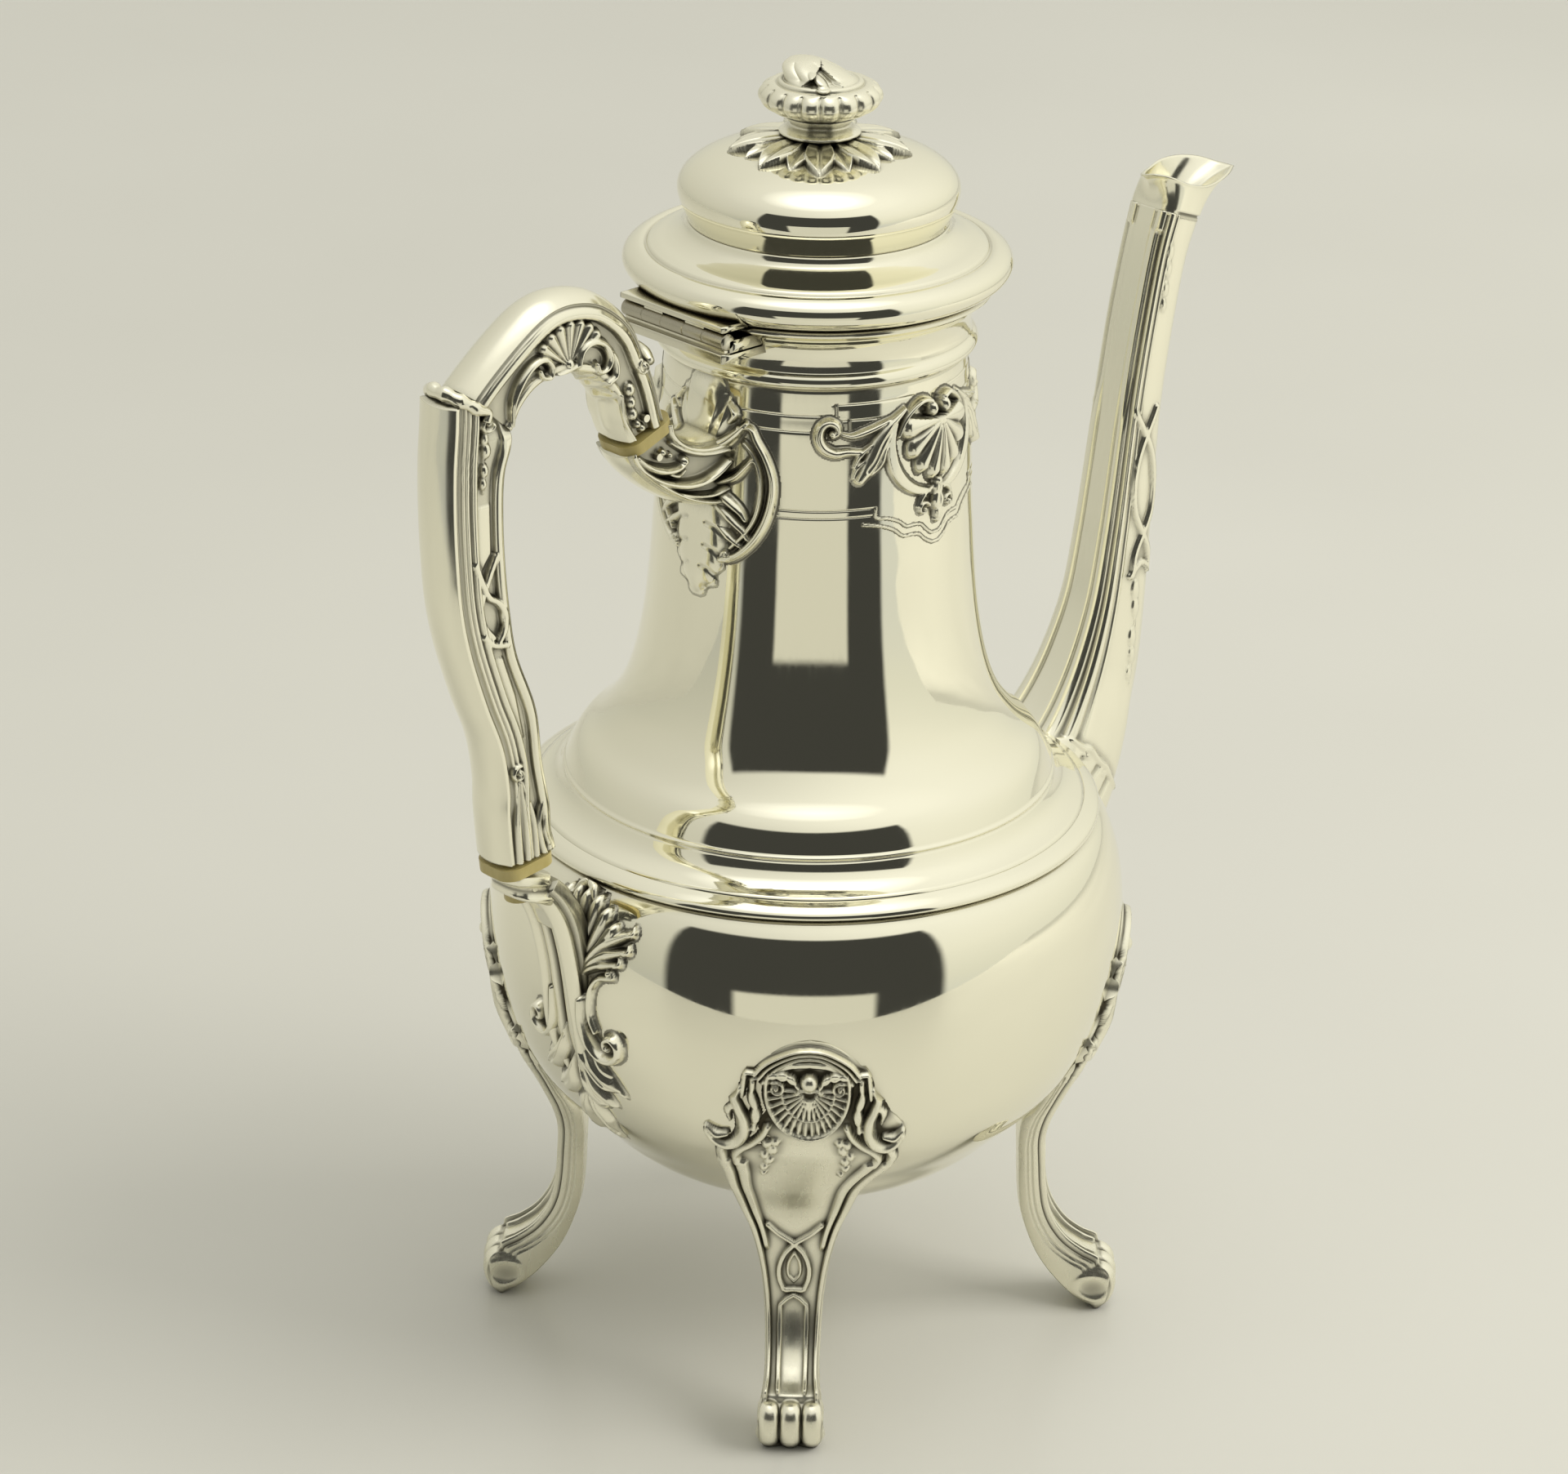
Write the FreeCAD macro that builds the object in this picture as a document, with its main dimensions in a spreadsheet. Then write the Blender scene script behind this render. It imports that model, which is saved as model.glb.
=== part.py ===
import FreeCAD, Part
import Sketcher
import math
import os
from FreeCAD import Vector, Placement, Rotation

# Silver coffee pot on four feet. Origin: on the pot's axis in the plane it stands on.
# +Z up, spout towards +X, handle towards -X. Millimetres.

doc = FreeCAD.newDocument("coffee_pot")
sheet = doc.addObject("Spreadsheet::Sheet", "Dims")

CELLS = [
    # body of revolution
    ("wall", 1.0), ("solder_gap", 0.05),
    ("bowl_bottom", 31.5), ("belly_radius", 64.4), ("belly_height", 91.0),
    ("belly_top_radius", 57.6), ("belly_top", 113.8),
    ("bead_radius", 58.8), ("bead_top", 117.0), ("bead_top_radius", 55.7),
    ("neck_base_radius", 55.6), ("neck_base", 117.05), ("neck_radius", 31.0),
    ("neck_top_radius", 29.3), ("neck_top", 211.5),
    ("collar_base", 211.55), ("collar_bead_radius", 31.4), ("rim_radius", 34.2), ("rim_top", 224.3),
    ("mouth_inner_radius", 28.3),
    # lid
    ("lid_base", 224.6), ("flange_radius", 37.75), ("flange_groove_radius", 33.3),
    ("dome_radius", 27.25), ("dome_base", 236.1), ("dome_top", 251.6), ("dome_seat_radius", 26.3),
    ("bezel_radius", 28.0), ("bezel_inner_radius", 27.0), ("bezel_bottom", 217.6), ("bezel_top", 224.55),
    ("stud_radius", 2.0), ("stud_bottom", 245.4), ("stud_length", 13.6), ("stud_hole_radius", 2.1),
    ("rosette_radius", 17.6), ("rosette_notch_radius", 13.0), ("rosette_leaves", 16),
    ("spool_radius", 7.4), ("spool_base", 252.75), ("spool_top", 256.6),
    ("bud_radius", 12.0), ("bud_base", 256.65), ("bud_top", 267.2),
    ("nut_across_corners_half", 4.6), ("nut_height", 3.0), ("nut_base", 246.3),
    ("washer_radius", 6.0), ("washer_height", 1.0), ("washer_base", 249.33),
    # hinge
    ("hinge_x", -36.6), ("hinge_z", 222.6), ("knuckle_radius", 1.7), ("knuckle_bore", 0.85),
    ("hinge_pin_radius", 0.8), ("hinge_half_length", 14.2),
    # handle
    ("grip_width", 10.6), ("grip_depth", 12.6), ("grip_corner", 3.4),
    ("joint_width", 10.9), ("joint_depth", 12.6), ("insulator_thick", 2.4),
    ("tenon_radius", 3.0), ("tenon_length", 7.0), ("tenon_bore", 3.06), ("tenon_bore_depth", 7.3),
    ("pin_radius", 0.75), ("pin_hole_radius", 0.8), ("pin_length", 10.5), ("pin_offset", 4.6),
    ("upper_joint_s", 47.2), ("upper_joint_z", 203.8), ("lower_joint_s", 77.6), ("lower_joint_z", 124.2),
    ("upper_socket_width", 10.8), ("lower_socket_width", 10.8), ("upper_plate_half_angle", 36.0),
    # spout
    ("spout_wall", 1.0), ("pouring_hole_radius", 8.0), ("pouring_hole_height", 93.0),
    ("tube_ra", 6.4), ("tube_rb", 6.3), ("tube_rc", 6.3), ("tube_rd", 6.9),
    ("tube_re_major", 8.0), ("tube_re_minor", 7.3), ("tube_rf_major", 9.4), ("tube_rf_minor", 8.0),
    ("tube_rg_major", 11.2), ("tube_rg_minor", 9.0), ("tube_rh_major", 14.0), ("tube_rh_minor", 10.6), ("tube_rk_major", 16.0), ("tube_rk_minor", 12.2),
    ("tube_ri_major", 17.0), ("tube_ri_minor", 13.4), ("tube_rj_major", 15.0), ("tube_rj_minor", 13.6),
    ("beak_mid_major", 7.4), ("beak_mid_minor", 6.5), ("beak_major", 12.0), ("beak_minor", 6.9),
    # feet and applied castings
    ("foot_radius", 62.6), ("foot_width", 46.0), ("plaque_thick", 2.4), ("plaque_half_angle", 20.0),
    ("ornament_thick", 1.5), ("ornament_half_angle", 48.0), ("socket_plate_thick", 1.7),
]
for row, (name, value) in enumerate(CELLS, 1):
    sheet.set("A%d" % row, name)
    sheet.set("B%d" % row, repr(value))
    sheet.setAlias("B%d" % row, name)
doc.recompute()


def D(name):
    return float(sheet.get(name))


def sketch(body, name, role, offset=None):
    sk = body.newObject("Sketcher::SketchObject", name)
    plane = [f for f in body.Origin.OriginFeatures if f.Role == role][0]
    sk.AttachmentSupport = [(plane, "")]
    sk.MapMode = "FlatFace"
    if offset is not None:
        sk.AttachmentOffset = offset
    return sk


def add_runs(sk, runs):
    # each run is a list of points: two make a straight edge, more a smooth curve; the runs close
    ids = []
    for pts in runs:
        v = [Vector(p[0], p[1], 0) for p in pts]
        if len(v) == 2:
            g = Part.LineSegment(v[0], v[1])
        else:
            g = Part.BSplineCurve()
            g.interpolate(v)
        ids.append(sk.addGeometry(g, False))
    for i in range(len(ids)):
        sk.addConstraint(Sketcher.Constraint("Coincident", ids[i], 2, ids[(i + 1) % len(ids)], 1))
    return ids


def add_polygon(sk, pts):
    return add_runs(sk, [[pts[i], pts[(i + 1) % len(pts)]] for i in range(len(pts))])


def add_closed_curve(sk, pts):
    g = Part.BSplineCurve()
    g.interpolate(Points=[Vector(x, y, 0) for x, y in pts], PeriodicFlag=True)
    return sk.addGeometry(g, False)


def bind(sk, geo, pos, xcell=None, ycell=None):
    for kind, cell in (("DistanceX", xcell), ("DistanceY", ycell)):
        if cell:
            i = sk.addConstraint(Sketcher.Constraint(kind, -1, 1, geo, pos, D(cell)))
            sk.setExpression("Constraints[%d]" % i, "Dims." + cell)


def rounded_rectangle(sk, width_cell, depth_cell, corner):
    # sketch X is the depth, sketch Y the width
    w, d, r = D(width_cell) / 2, D(depth_cell) / 2, corner
    k = r * (1 - math.sqrt(0.5))
    lines = [((-d + r, -w), (d - r, -w)), ((d, -w + r), (d, w - r)), ((d - r, w), (-d + r, w)), ((-d, w - r), (-d, -w + r))]
    mids = [(d - k, -w + k), (d - k, w - k), (-d + k, w - k), (-d + k, -w + k)]
    ids = []
    for i in range(4):
        a, b = lines[i]
        c = lines[(i + 1) % 4][0]
        ids.append(sk.addGeometry(Part.LineSegment(Vector(a[0], a[1], 0), Vector(b[0], b[1], 0)), False))
        ids.append(sk.addGeometry(Part.Arc(Vector(b[0], b[1], 0), Vector(mids[i][0], mids[i][1], 0), Vector(c[0], c[1], 0)), False))
    join(sk, ids, True)
    i = sk.addConstraint(Sketcher.Constraint("DistanceY", ids[2], 1, ids[2], 2, 2 * (w - r)))
    sk.setExpression("Constraints[%d]" % i, "Dims.%s - %r" % (width_cell, 2 * r))
    return ids


def join(sk, ids, closed):
    n = len(ids)
    for i in range(n if closed else n - 1):
        a, b = ids[i], ids[(i + 1) % n]
        best = min(((sk.getPoint(a, p) - sk.getPoint(b, q)).Length, p, q) for p in (1, 2) for q in (1, 2))
        sk.addConstraint(Sketcher.Constraint("Coincident", a, best[1], b, best[2]))


def offset_inward(pts, wall):
    # the same profile moved by the wall thickness to its left-hand side
    out = []
    for i, (x, y) in enumerate(pts):
        a = pts[max(i - 1, 0)]
        b = pts[min(i + 1, len(pts) - 1)]
        dx, dy = b[0] - a[0], b[1] - a[1]
        n = math.hypot(dx, dy)
        out.append((x - dy / n * wall, y + dx / n * wall))
    return out


def offset_outward(pts, gap):
    return [(x, y) for x, y in offset_inward(pts, -gap)]


def lathe(label, runs, binds=()):
    body = doc.addObject("PartDesign::Body", label)
    body.Label = label
    sk = sketch(body, label + "_profile", "XZ_Plane")
    ids = add_runs(sk, runs)
    for g, p, x, y in binds:
        bind(sk, ids[g], p, x, y)
    rev = body.newObject("PartDesign::Revolution", label + "_turned")
    rev.Profile = sk
    rev.ReferenceAxis = (sk, ["V_Axis"])
    rev.Angle = 360
    return body


def polygon_runs(pts):
    return [[pts[i], pts[(i + 1) % len(pts)]] for i in range(len(pts))]


def cut(label, base, tools):
    tool = tools[0]
    if len(tools) > 1:
        tool = doc.addObject("Part::MultiFuse", label + "_tools")
        tool.Shapes = tools
    c = doc.addObject("Part::Cut", label)
    c.Base = base
    c.Tool = tool
    c.Label = label
    return c


def cylinder(name, radius_cell, length_cell, placement, extra=""):
    c = doc.addObject("Part::Cylinder", name)
    c.setExpression("Radius", "Dims." + radius_cell)
    c.setExpression("Height", "Dims." + length_cell + extra)
    c.Placement = placement
    return c


def interp(pts, z):
    # radius of a profile at height z
    for (r0, z0), (r1, z1) in zip(pts, pts[1:]):
        if z0 <= z <= z1:
            return r0 + (r1 - r0) * (z - z0) / (z1 - z0)
    raise ValueError(z)


# ---------------------------------------------------------------- body of revolution
W = D("wall")
R = D("belly_radius")
belly = [(0, D("bowl_bottom")), (10, 32.1), (20, 34.0), (28, 37.0), (34, 40.1), (38.4, 42.9), (42.1, 46), (46.0, 50), (50.2, 54),
         (53.9, 58), (56.9, 62), (59.1, 66), (60.8, 70), (62.0, 74), (63.0, 78), (R - 0.7, 82), (R - 0.2, 86.5), (R, D("belly_height")),
         (R - 0.2, 96), (R - 0.8, 101), (R - 1.7, 105), (R - 3.0, 108.6), (R - 4.7, 111.6), (D("belly_top_radius"), D("belly_top"))]
belly_in = offset_inward(belly, W)
belly_in[0] = (0, D("bowl_bottom") + W)
belly_in[-1] = (D("belly_top_radius") - 1.25, D("belly_top"))
bowl = lathe("belly_bowl", [belly, [belly[-1], belly_in[-1]], belly_in[::-1], [belly_in[0], belly[0]]],
             [(0, 1, None, "bowl_bottom"), (0, 2, "belly_top_radius", "belly_top")])
# the pouring hole: one round opening through the belly wall behind the spout
pour = sketch(bowl, "pouring_hole", "YZ_Plane")
g = pour.addGeometry(Part.Circle(Vector(0, D("pouring_hole_height"), 0), Vector(0, 0, 1), D("pouring_hole_radius")), False)
i = pour.addConstraint(Sketcher.Constraint("Radius", g, D("pouring_hole_radius")))
pour.setExpression("Constraints[%d]" % i, "Dims.pouring_hole_radius")
pierce = bowl.newObject("PartDesign::Pocket", "pouring_hole_pierced")
pierce.Profile = pour
pierce.Type = "Length"
pierce.Length = 90
pierce.Reversed = True
doc.recompute()
if pierce.Shape.BoundBox.XMin > -60:
    raise RuntimeError("the pouring hole lies on the wrong side")

bead = [(D("belly_top_radius") - 1.4, 113.85), (57.9, 113.85), (D("bead_radius"), 114.5), (58.6, 115.3), (57.4, 116.2),
        (D("bead_top_radius"), D("bead_top")), (54.3, D("bead_top")), (54.7, 115.2)]
moulding = lathe("shoulder_moulding", polygon_runs(bead), [(4, 2, "bead_top_radius", "bead_top")])

N = D("neck_radius")
neck = [(D("neck_base_radius"), D("neck_base")), (53.0, 119.4), (50.7, 122.0), (48.5, 124.2), (46.4, 126.4), (43.2, 130), (40.3, 134), (38.0, 138),
        (36.4, 142), (35.2, 146), (34.3, 150), (33.3, 156), (32.6, 162), (32.1, 168), (31.7, 174), (31.3, 180), (N, 187), (N - 0.25, 194),
        (N - 0.6, 200), (N - 1.2, 206), (D("neck_top_radius"), D("neck_top"))]
neck_in = offset_inward(neck, W)
neck_in[0] = (neck[0][0] - 1.3, neck[0][1])
neck_in[-1] = (neck[-1][0] - W, neck[-1][1])
neck_body = lathe("neck_shell", [neck, [neck[-1], neck_in[-1]], neck_in[::-1], [neck_in[0], neck[0]]],
                  [(0, 1, "neck_base_radius", "neck_base"), (0, 2, "neck_top_radius", "neck_top")])

C0 = D("collar_base")
collar_out = [(29.35, C0), (30.7, 211.9), (D("collar_bead_radius"), 212.9), (31.1, 213.9), (30.2, 214.9), (30.0, 216.6), (30.4, 218.6),
              (31.4, 220.6), (32.8, 222.2), (D("rim_radius"), 223.2), (D("rim_radius"), 223.8), (33.4, D("rim_top"))]
collar_in = [(32.0, D("rim_top")), (31.4, 222.9), (30.2, 221.2), (29.3, 219.2), (28.9, 216.8), (28.5, 214.5), (D("mouth_inner_radius"), C0)]
collar = lathe("mouth_collar", [collar_out[:6], collar_out[5:10], collar_out[9:11], collar_out[10:12], [collar_out[-1], collar_in[0]], collar_in,
                                [collar_in[-1], collar_out[0]]], [(6, 1, "mouth_inner_radius", "collar_base")])

# solids a hair larger than the body, to fit the applied castings to it
g = D("solder_gap")
outline = [(0, belly[0][1] - g)] + offset_outward(belly, g)[1:-1] + [(D("bead_radius") + 0.2, 113.6), (D("bead_radius") + 0.25, 115.0),
           (57.8, 116.5), (55.9, 117.3)] + offset_outward(neck, g)[1:]
body_core = lathe("body_clearance", polygon_runs(outline + [(0, outline[-1][1])]))
collar_core = lathe("collar_clearance", polygon_runs([(0, C0)] + offset_outward(collar_out, 0.04) + [(0, D("rim_top"))]))


def casting(label, angle, strip_profile, strip_gap, strip_thick_cell, half_angle_cell, side, outline_pts, width_cell, stem_in_outline=True):
    # an applied casting: a curved plaque on the body inside its front outline, and a bracket or leg standing on it
    body = doc.addObject("PartDesign::Body", label)
    body.Label = label
    inner = offset_outward(strip_profile, strip_gap)
    outer = offset_outward(strip_profile, strip_gap + D(strip_thick_cell))
    sk = sketch(body, label + "_strip", "XZ_Plane")
    add_runs(sk, [inner, [inner[-1], outer[-1]], outer[::-1], [outer[0], inner[0]]])
    rev = body.newObject("PartDesign::Revolution", label + "_plaque")
    rev.Profile = sk
    rev.ReferenceAxis = (sk, ["V_Axis"])
    rev.Midplane = True
    rev.setExpression("Angle", "2 * Dims." + half_angle_cell)

    def stem():
        sk2 = sketch(body, label + "_side", "XZ_Plane")
        add_runs(sk2, side)
        pad = body.newObject("PartDesign::Pad", label + "_stem")
        pad.Profile = sk2
        pad.SideType = "Symmetric"
        pad.setExpression("Length", "Dims." + width_cell)

    if side and stem_in_outline:
        stem()
    doc.recompute()
    before = body.Tip.Shape.Volume
    sk3 = sketch(body, label + "_outline", "YZ_Plane")
    add_closed_curve(sk3, outline_pts)
    add_polygon(sk3, [(-90, -40), (90, -40), (90, 260), (-90, 260)])
    trim = body.newObject("PartDesign::Pocket", label + "_trimmed")
    trim.Profile = sk3
    trim.Type = "Length"
    trim.SideType = "Symmetric"
    trim.Length = 300
    doc.recompute()
    if not trim.Shape.Volume < before - 1:
        raise RuntimeError(label + " was not trimmed")
    if side and not stem_in_outline:
        stem()
    body.Placement = Placement(Vector(0, 0, 0), Rotation(Vector(0, 0, 1), angle))
    return body


def mirrored(half):
    # half: points from top centre to bottom centre on the right; the left side is its mirror
    return half + [(-x, z) for x, z in half[::-1] if abs(x) > 1e-6]


# ---------------------------------------------------------------- four cast feet on the diagonals
F = D("foot_radius")
leg_inner = [(F - 3.0, 0), (F - 5.3, 2.2), (53.4, 6.4), (51.0, 9.8), (48.9, 13.6), (47.1, 18.2), (46.0, 23), (45.5, 28), (45.2, 35), (45.0, 40.5),
             (45.6, 46.6), (48.2, 51.0), (52.2, 55.2), (56.2, 59.6)]
leg_outer = [(58.6, 60.6), (55.4, 54.6), (51.6, 47), (50.3, 42.6), (50.2, 36), (50.4, 29), (51.2, 23.6), (52.6, 19.6), (54.9, 15.9), (58.6, 13.2),
             (62.8, 11.6), (65.9, 8.6), (66.7, 5.0), (F + 2.9, 1.6), (F + 1.0, 0)]
leg = [leg_inner, [leg_inner[-1], leg_outer[0]], leg_outer, [leg_outer[-1], leg_inner[0]]]
foot_front = mirrored([(0, 91.5), (5.5, 90.4), (10.2, 86.6), (13.0, 80.6), (17.2, 76), (20.2, 70.6), (19.0, 65.4), (16.4, 60.4), (15.6, 54), (13.2, 47.4),
                       (10.4, 41.6), (7.4, 34.5), (5.9, 27), (5.2, 20), (5.1, 13), (5.9, 8.5), (6.4, 4), (6.2, -2), (2.5, -4)])
strip = [(r, z) for r, z in belly if 49 <= z <= 95]
for name, angle in (("foot_front_left", 225), ("foot_front_right", -45), ("foot_back_left", 135), ("foot_back_right", 45)):
    casting(name, angle, strip, g, "plaque_thick", "plaque_half_angle", leg, foot_front, "foot_width")

# ---------------------------------------------------------------- neck ornaments, one on each side
orn_strip = [(r, z) for r, z in neck if 173 <= z <= 212]
orn_front = mirrored([(0, 207.6), (4.6, 208.2), (9.0, 206.4), (14.0, 205.2), (18.4, 206.2), (22.2, 204.4), (22.8, 200), (20.6, 196.2), (17.0, 193.2), (13.4, 196.4),
                      (10.6, 193.4), (7.2, 188.6), (5.0, 184.0), (0, 180.6)])
casting("neck_ornament_front", -90, orn_strip, g, "ornament_thick", "ornament_half_angle", None, orn_front, "foot_width")
casting("neck_ornament_back", 90, orn_strip, g, "ornament_thick", "ornament_half_angle", None, orn_front, "foot_width")

# ---------------------------------------------------------------- handle: sockets, insulators, grip, pins
US, UZ, LS, LZ = D("upper_joint_s"), D("upper_joint_z"), D("lower_joint_s"), D("lower_joint_z")
ud = (0.36, 0.933)      # direction of the handle's axis at the upper joint, going up
ld = (0.12, 0.993)      # and at the lower joint, going up
half = D("insulator_thick") / 2
jd = D("joint_depth") / 2


def frame_at(s, z, d):
    # placement whose Z axis runs along the handle's axis at a joint, handle at -X
    zax = Vector(-d[0], 0, d[1])
    yax = Vector(0, 1, 0)
    return Placement(Vector(-s, 0, z), Rotation(yax.cross(zax), yax, zax, "ZYX"))


def along(pl, dist):
    return Placement(pl.Base + pl.Rotation.multVec(Vector(0, 0, dist)), pl.Rotation)


def end_points(s, z, d, back):
    # the two edge points of a joint face, inner side first
    cs, cz = s - back * d[0], z - back * d[1]
    return (cs - jd * d[1], cz + jd * d[0]), (cs + jd * d[1], cz - jd * d[0])


ui, uo = end_points(US, UZ, ud, half + 0.02)
up_side = [[(31.35, 205.5), (34.0, 207.4), ui], [ui, uo], [uo, (49.6, 195.0), (44.6, 189.6), (39.2, 184.4), (35.4, 178.4), (33.3, 172)], [(33.3, 172), (32.4, 172)],
           [(32.4, 172), (31.9, 180), (31.5, 190), (31.15, 198), (31.35, 205.5)]]
up_front = mirrored([(0, 212.5), (5.2, 210.6), (7.4, 206), (10.6, 202.4), (14.8, 198), (17.0, 191), (15.6, 183.6), (11.6, 178.2), (6.6, 176.4), (4.2, 172), (0, 167.2)])
up_cast = casting("upper_socket_casting", 180, [(r, z) for r, z in neck if 161 <= z <= 212], g, "socket_plate_thick", "upper_plate_half_angle", up_side, up_front, "upper_socket_width", False)

li, lo = end_points(LS, LZ, ld, half + 0.02)
bp = [(r + 0.12, z) for r, z in offset_outward(belly, g)]
low_in = [li, (68.8, 117.6), (66.6, 113.2), (65.0, 109.4)] + [(interp(bp, z), z) for z in (105.0, 101.0, 96.0, 91.0, 86.5, 82.0, 78.0, 74.0, 70.0, 66.0, 62.4)]
low_out = [(58.6, 61.4), (63.2, 69.0), (66.4, 77.0), (68.4, 86.0), (70.6, 95.0), (75.0, 103.6), (79.8, 111.0), (82.8, 117.0), lo]
low_side = [low_in, [low_in[-1], low_out[0]], low_out, [lo, li]]
low_front = mirrored([(0, 128), (7.6, 126), (6.6, 119.5), (8.6, 114.6), (13.6, 113.0), (17.2, 110.6), (15.0, 105.0), (11.4, 100), (8.6, 93.6), (9.6, 86.8), (12.6, 81.6), (11.4, 75.6), (8.2, 69), (4.6, 62), (0, 57.6)])
low_cast = casting("lower_socket_casting", 180, [(r, z) for r, z in belly if 54 <= z <= 109.5], g, "socket_plate_thick", "plaque_half_angle", low_side, low_front, "lower_socket_width", False)

upper_frame = frame_at(US, UZ, ud)
lower_frame = frame_at(LS, LZ, ld)


def insulator(label, pl):
    body = doc.addObject("PartDesign::Body", label + "_turned")
    sk = sketch(body, label + "_disc", "XY_Plane")
    rounded_rectangle(sk, "joint_width", "joint_depth", 3.4)
    pad = body.newObject("PartDesign::Pad", label + "_ring")
    pad.Profile = sk
    pad.SideType = "Symmetric"
    pad.setExpression("Length", "Dims.insulator_thick")
    sk2 = sketch(body, label + "_tenon", "XY_Plane")
    c = sk2.addGeometry(Part.Circle(Vector(0, 0, 0), Vector(0, 0, 1), D("tenon_radius")), False)
    i = sk2.addConstraint(Sketcher.Constraint("Radius", c, D("tenon_radius")))
    sk2.setExpression("Constraints[%d]" % i, "Dims.tenon_radius")
    pad2 = body.newObject("PartDesign::Pad", label + "_tenons")
    pad2.Profile = sk2
    pad2.SideType = "Symmetric"
    pad2.setExpression("Length", "Dims.insulator_thick + 2 * Dims.tenon_length")
    body.Placement = pl
    return body


def pin_frame(pl, dist, length):
    # a pin across the joint, along Y
    q = along(pl, dist)
    return Placement(q.Base + Vector(0, -length / 2, 0), Rotation(Vector(1, 0, 0), -90))


def joint(prefix, pl):
    holes = [cylinder(prefix + "_pin_hole_%d" % k, "pin_hole_radius", "pin_length", pin_frame(pl, k * D("pin_offset"), D("pin_length") + 8), " + 8") for k in (-1, 1)]
    ins = cut(prefix + "_insulator", insulator(prefix + "_insulator", pl), holes)
    pins = doc.addObject("Part::Compound", prefix + "_handle_pins")
    pins.Links = [cylinder(prefix + "_pin_%d" % k, "pin_radius", "pin_length", pin_frame(pl, k * D("pin_offset"), D("pin_length"))) for k in (-1, 1)]
    pins.Label = prefix + "_handle_pins"
    below = cylinder(prefix + "_bore_below", "tenon_bore", "tenon_bore_depth", along(pl, -D("tenon_bore_depth") - half), " + %r" % half)
    above = cylinder(prefix + "_bore_above", "tenon_bore", "tenon_bore_depth", along(pl, 0), " + %r" % half)
    return holes, ins, pins, below, above


uh, upper_insulator, upper_pins, u_below, u_above = joint("upper", upper_frame)
lh, lower_insulator, lower_pins, l_below, l_above = joint("lower", lower_frame)
upper_socket = cut("upper_handle_socket", up_cast, [u_below, uh[0]])
lower_socket = cut("lower_handle_socket", low_cast, [l_below, lh[0]])

# the grip's axis: straight runs joined by tangent arcs
start = (US + (half + 0.02) * ud[0], UZ + (half + 0.02) * ud[1])
stop = (LS + (half + 0.02) * ld[0], LZ + (half + 0.02) * ld[1])
corners = [start, (start[0] + 20.4 * ud[0], start[1] + 20.4 * ud[1]), (70.6, 231.6), (90.2, 221.5), (92.0, 190.0), (stop[0] + 20.6 * ld[0], stop[1] + 20.6 * ld[1]), stop]
grip_body = doc.addObject("PartDesign::Body", "handle_bar")
path = sketch(grip_body, "handle_axis", "XZ_Plane")
ids = []
at = Vector(-corners[0][0], corners[0][1], 0)
for i in range(1, len(corners)):
    b = Vector(-corners[i][0], corners[i][1], 0)
    if i == len(corners) - 1:
        ids.append(path.addGeometry(Part.LineSegment(at, b), False))
        break
    a = Vector(-corners[i - 1][0], corners[i - 1][1], 0)
    c = Vector(-corners[i + 1][0], corners[i + 1][1], 0)
    u, v = (a - b), (c - b)
    run = min(u.Length, v.Length)
    u.normalize()
    v.normalize()
    turn = math.pi - u.getAngle(v)
    t = min(0.47 * run, 34.0)
    rad = t / math.tan(turn / 2)
    p0, p1 = b + u * t, b + v * t
    bis = u + v
    bis.normalize()
    mid = b + bis * (math.hypot(rad, t) - rad)
    ids.append(path.addGeometry(Part.LineSegment(at, p0), False))
    ids.append(path.addGeometry(Part.Arc(p0, mid, p1), False))
    at = p1
join(path, ids, False)
prof = sketch(grip_body, "handle_section", "XY_Plane", frame_at(start[0], start[1], ud))
rounded_rectangle(prof, "grip_width", "grip_depth", D("grip_corner"))
pipe = grip_body.newObject("PartDesign::AdditivePipe", "handle_swept")
pipe.Profile = prof
pipe.Spine = path
pipe.Mode = "Binormal"
pipe.Binormal = Vector(0, 1, 0)
handle = cut("handle_grip", grip_body, [u_above, uh[1], l_above, lh[1]])

# ---------------------------------------------------------------- spout
SPOUT = [  # centre-line x, z and the cells of its two half sizes (in the pot's plane, across)
    (48.0, 80.0, "tube_rj_major", "tube_rj_minor"), (58.0, 88.0, "tube_ri_major", "tube_ri_minor"), (67.5, 96.4, "tube_rk_major", "tube_rk_minor"),
    (74.4, 104.8, "tube_rh_major", "tube_rh_minor"), (79.6, 115.0, "tube_rg_major", "tube_rg_minor"), (82.9, 123.4, "tube_rf_major", "tube_rf_minor"),
    (85.8, 134.6, "tube_re_major", "tube_re_minor"), (88.7, 157.9, "tube_rd", "tube_rd"), (91.0, 177.0, "tube_rc", "tube_rc"),
    (94.0, 197.0, "tube_rb", "tube_rb"), (99.9, 216.9, "tube_ra", "tube_ra")]


def direction(i):
    a = SPOUT[max(i - 1, 0)]
    b = SPOUT[min(i + 1, len(SPOUT) - 1)]
    if i == len(SPOUT) - 1:
        return (0.36, 0.933)
    n = math.hypot(b[0] - a[0], b[1] - a[1])
    return ((b[0] - a[0]) / n, (b[1] - a[1]) / n)


def section(name, x, z, d, major, minor, less):
    e = doc.addObject("Part::Ellipse", name)
    e.setExpression("MajorRadius", "Dims.%s - %s + 0.002" % (major, less))
    e.setExpression("MinorRadius", "Dims.%s - %s" % (minor, less))
    xax = Vector(d[1], 0, -d[0])
    e.Placement = Placement(Vector(x, 0, z), Rotation(xax, Vector(0, 1, 0), Vector(d[0], 0, d[1]), "ZYX"))
    return e


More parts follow.
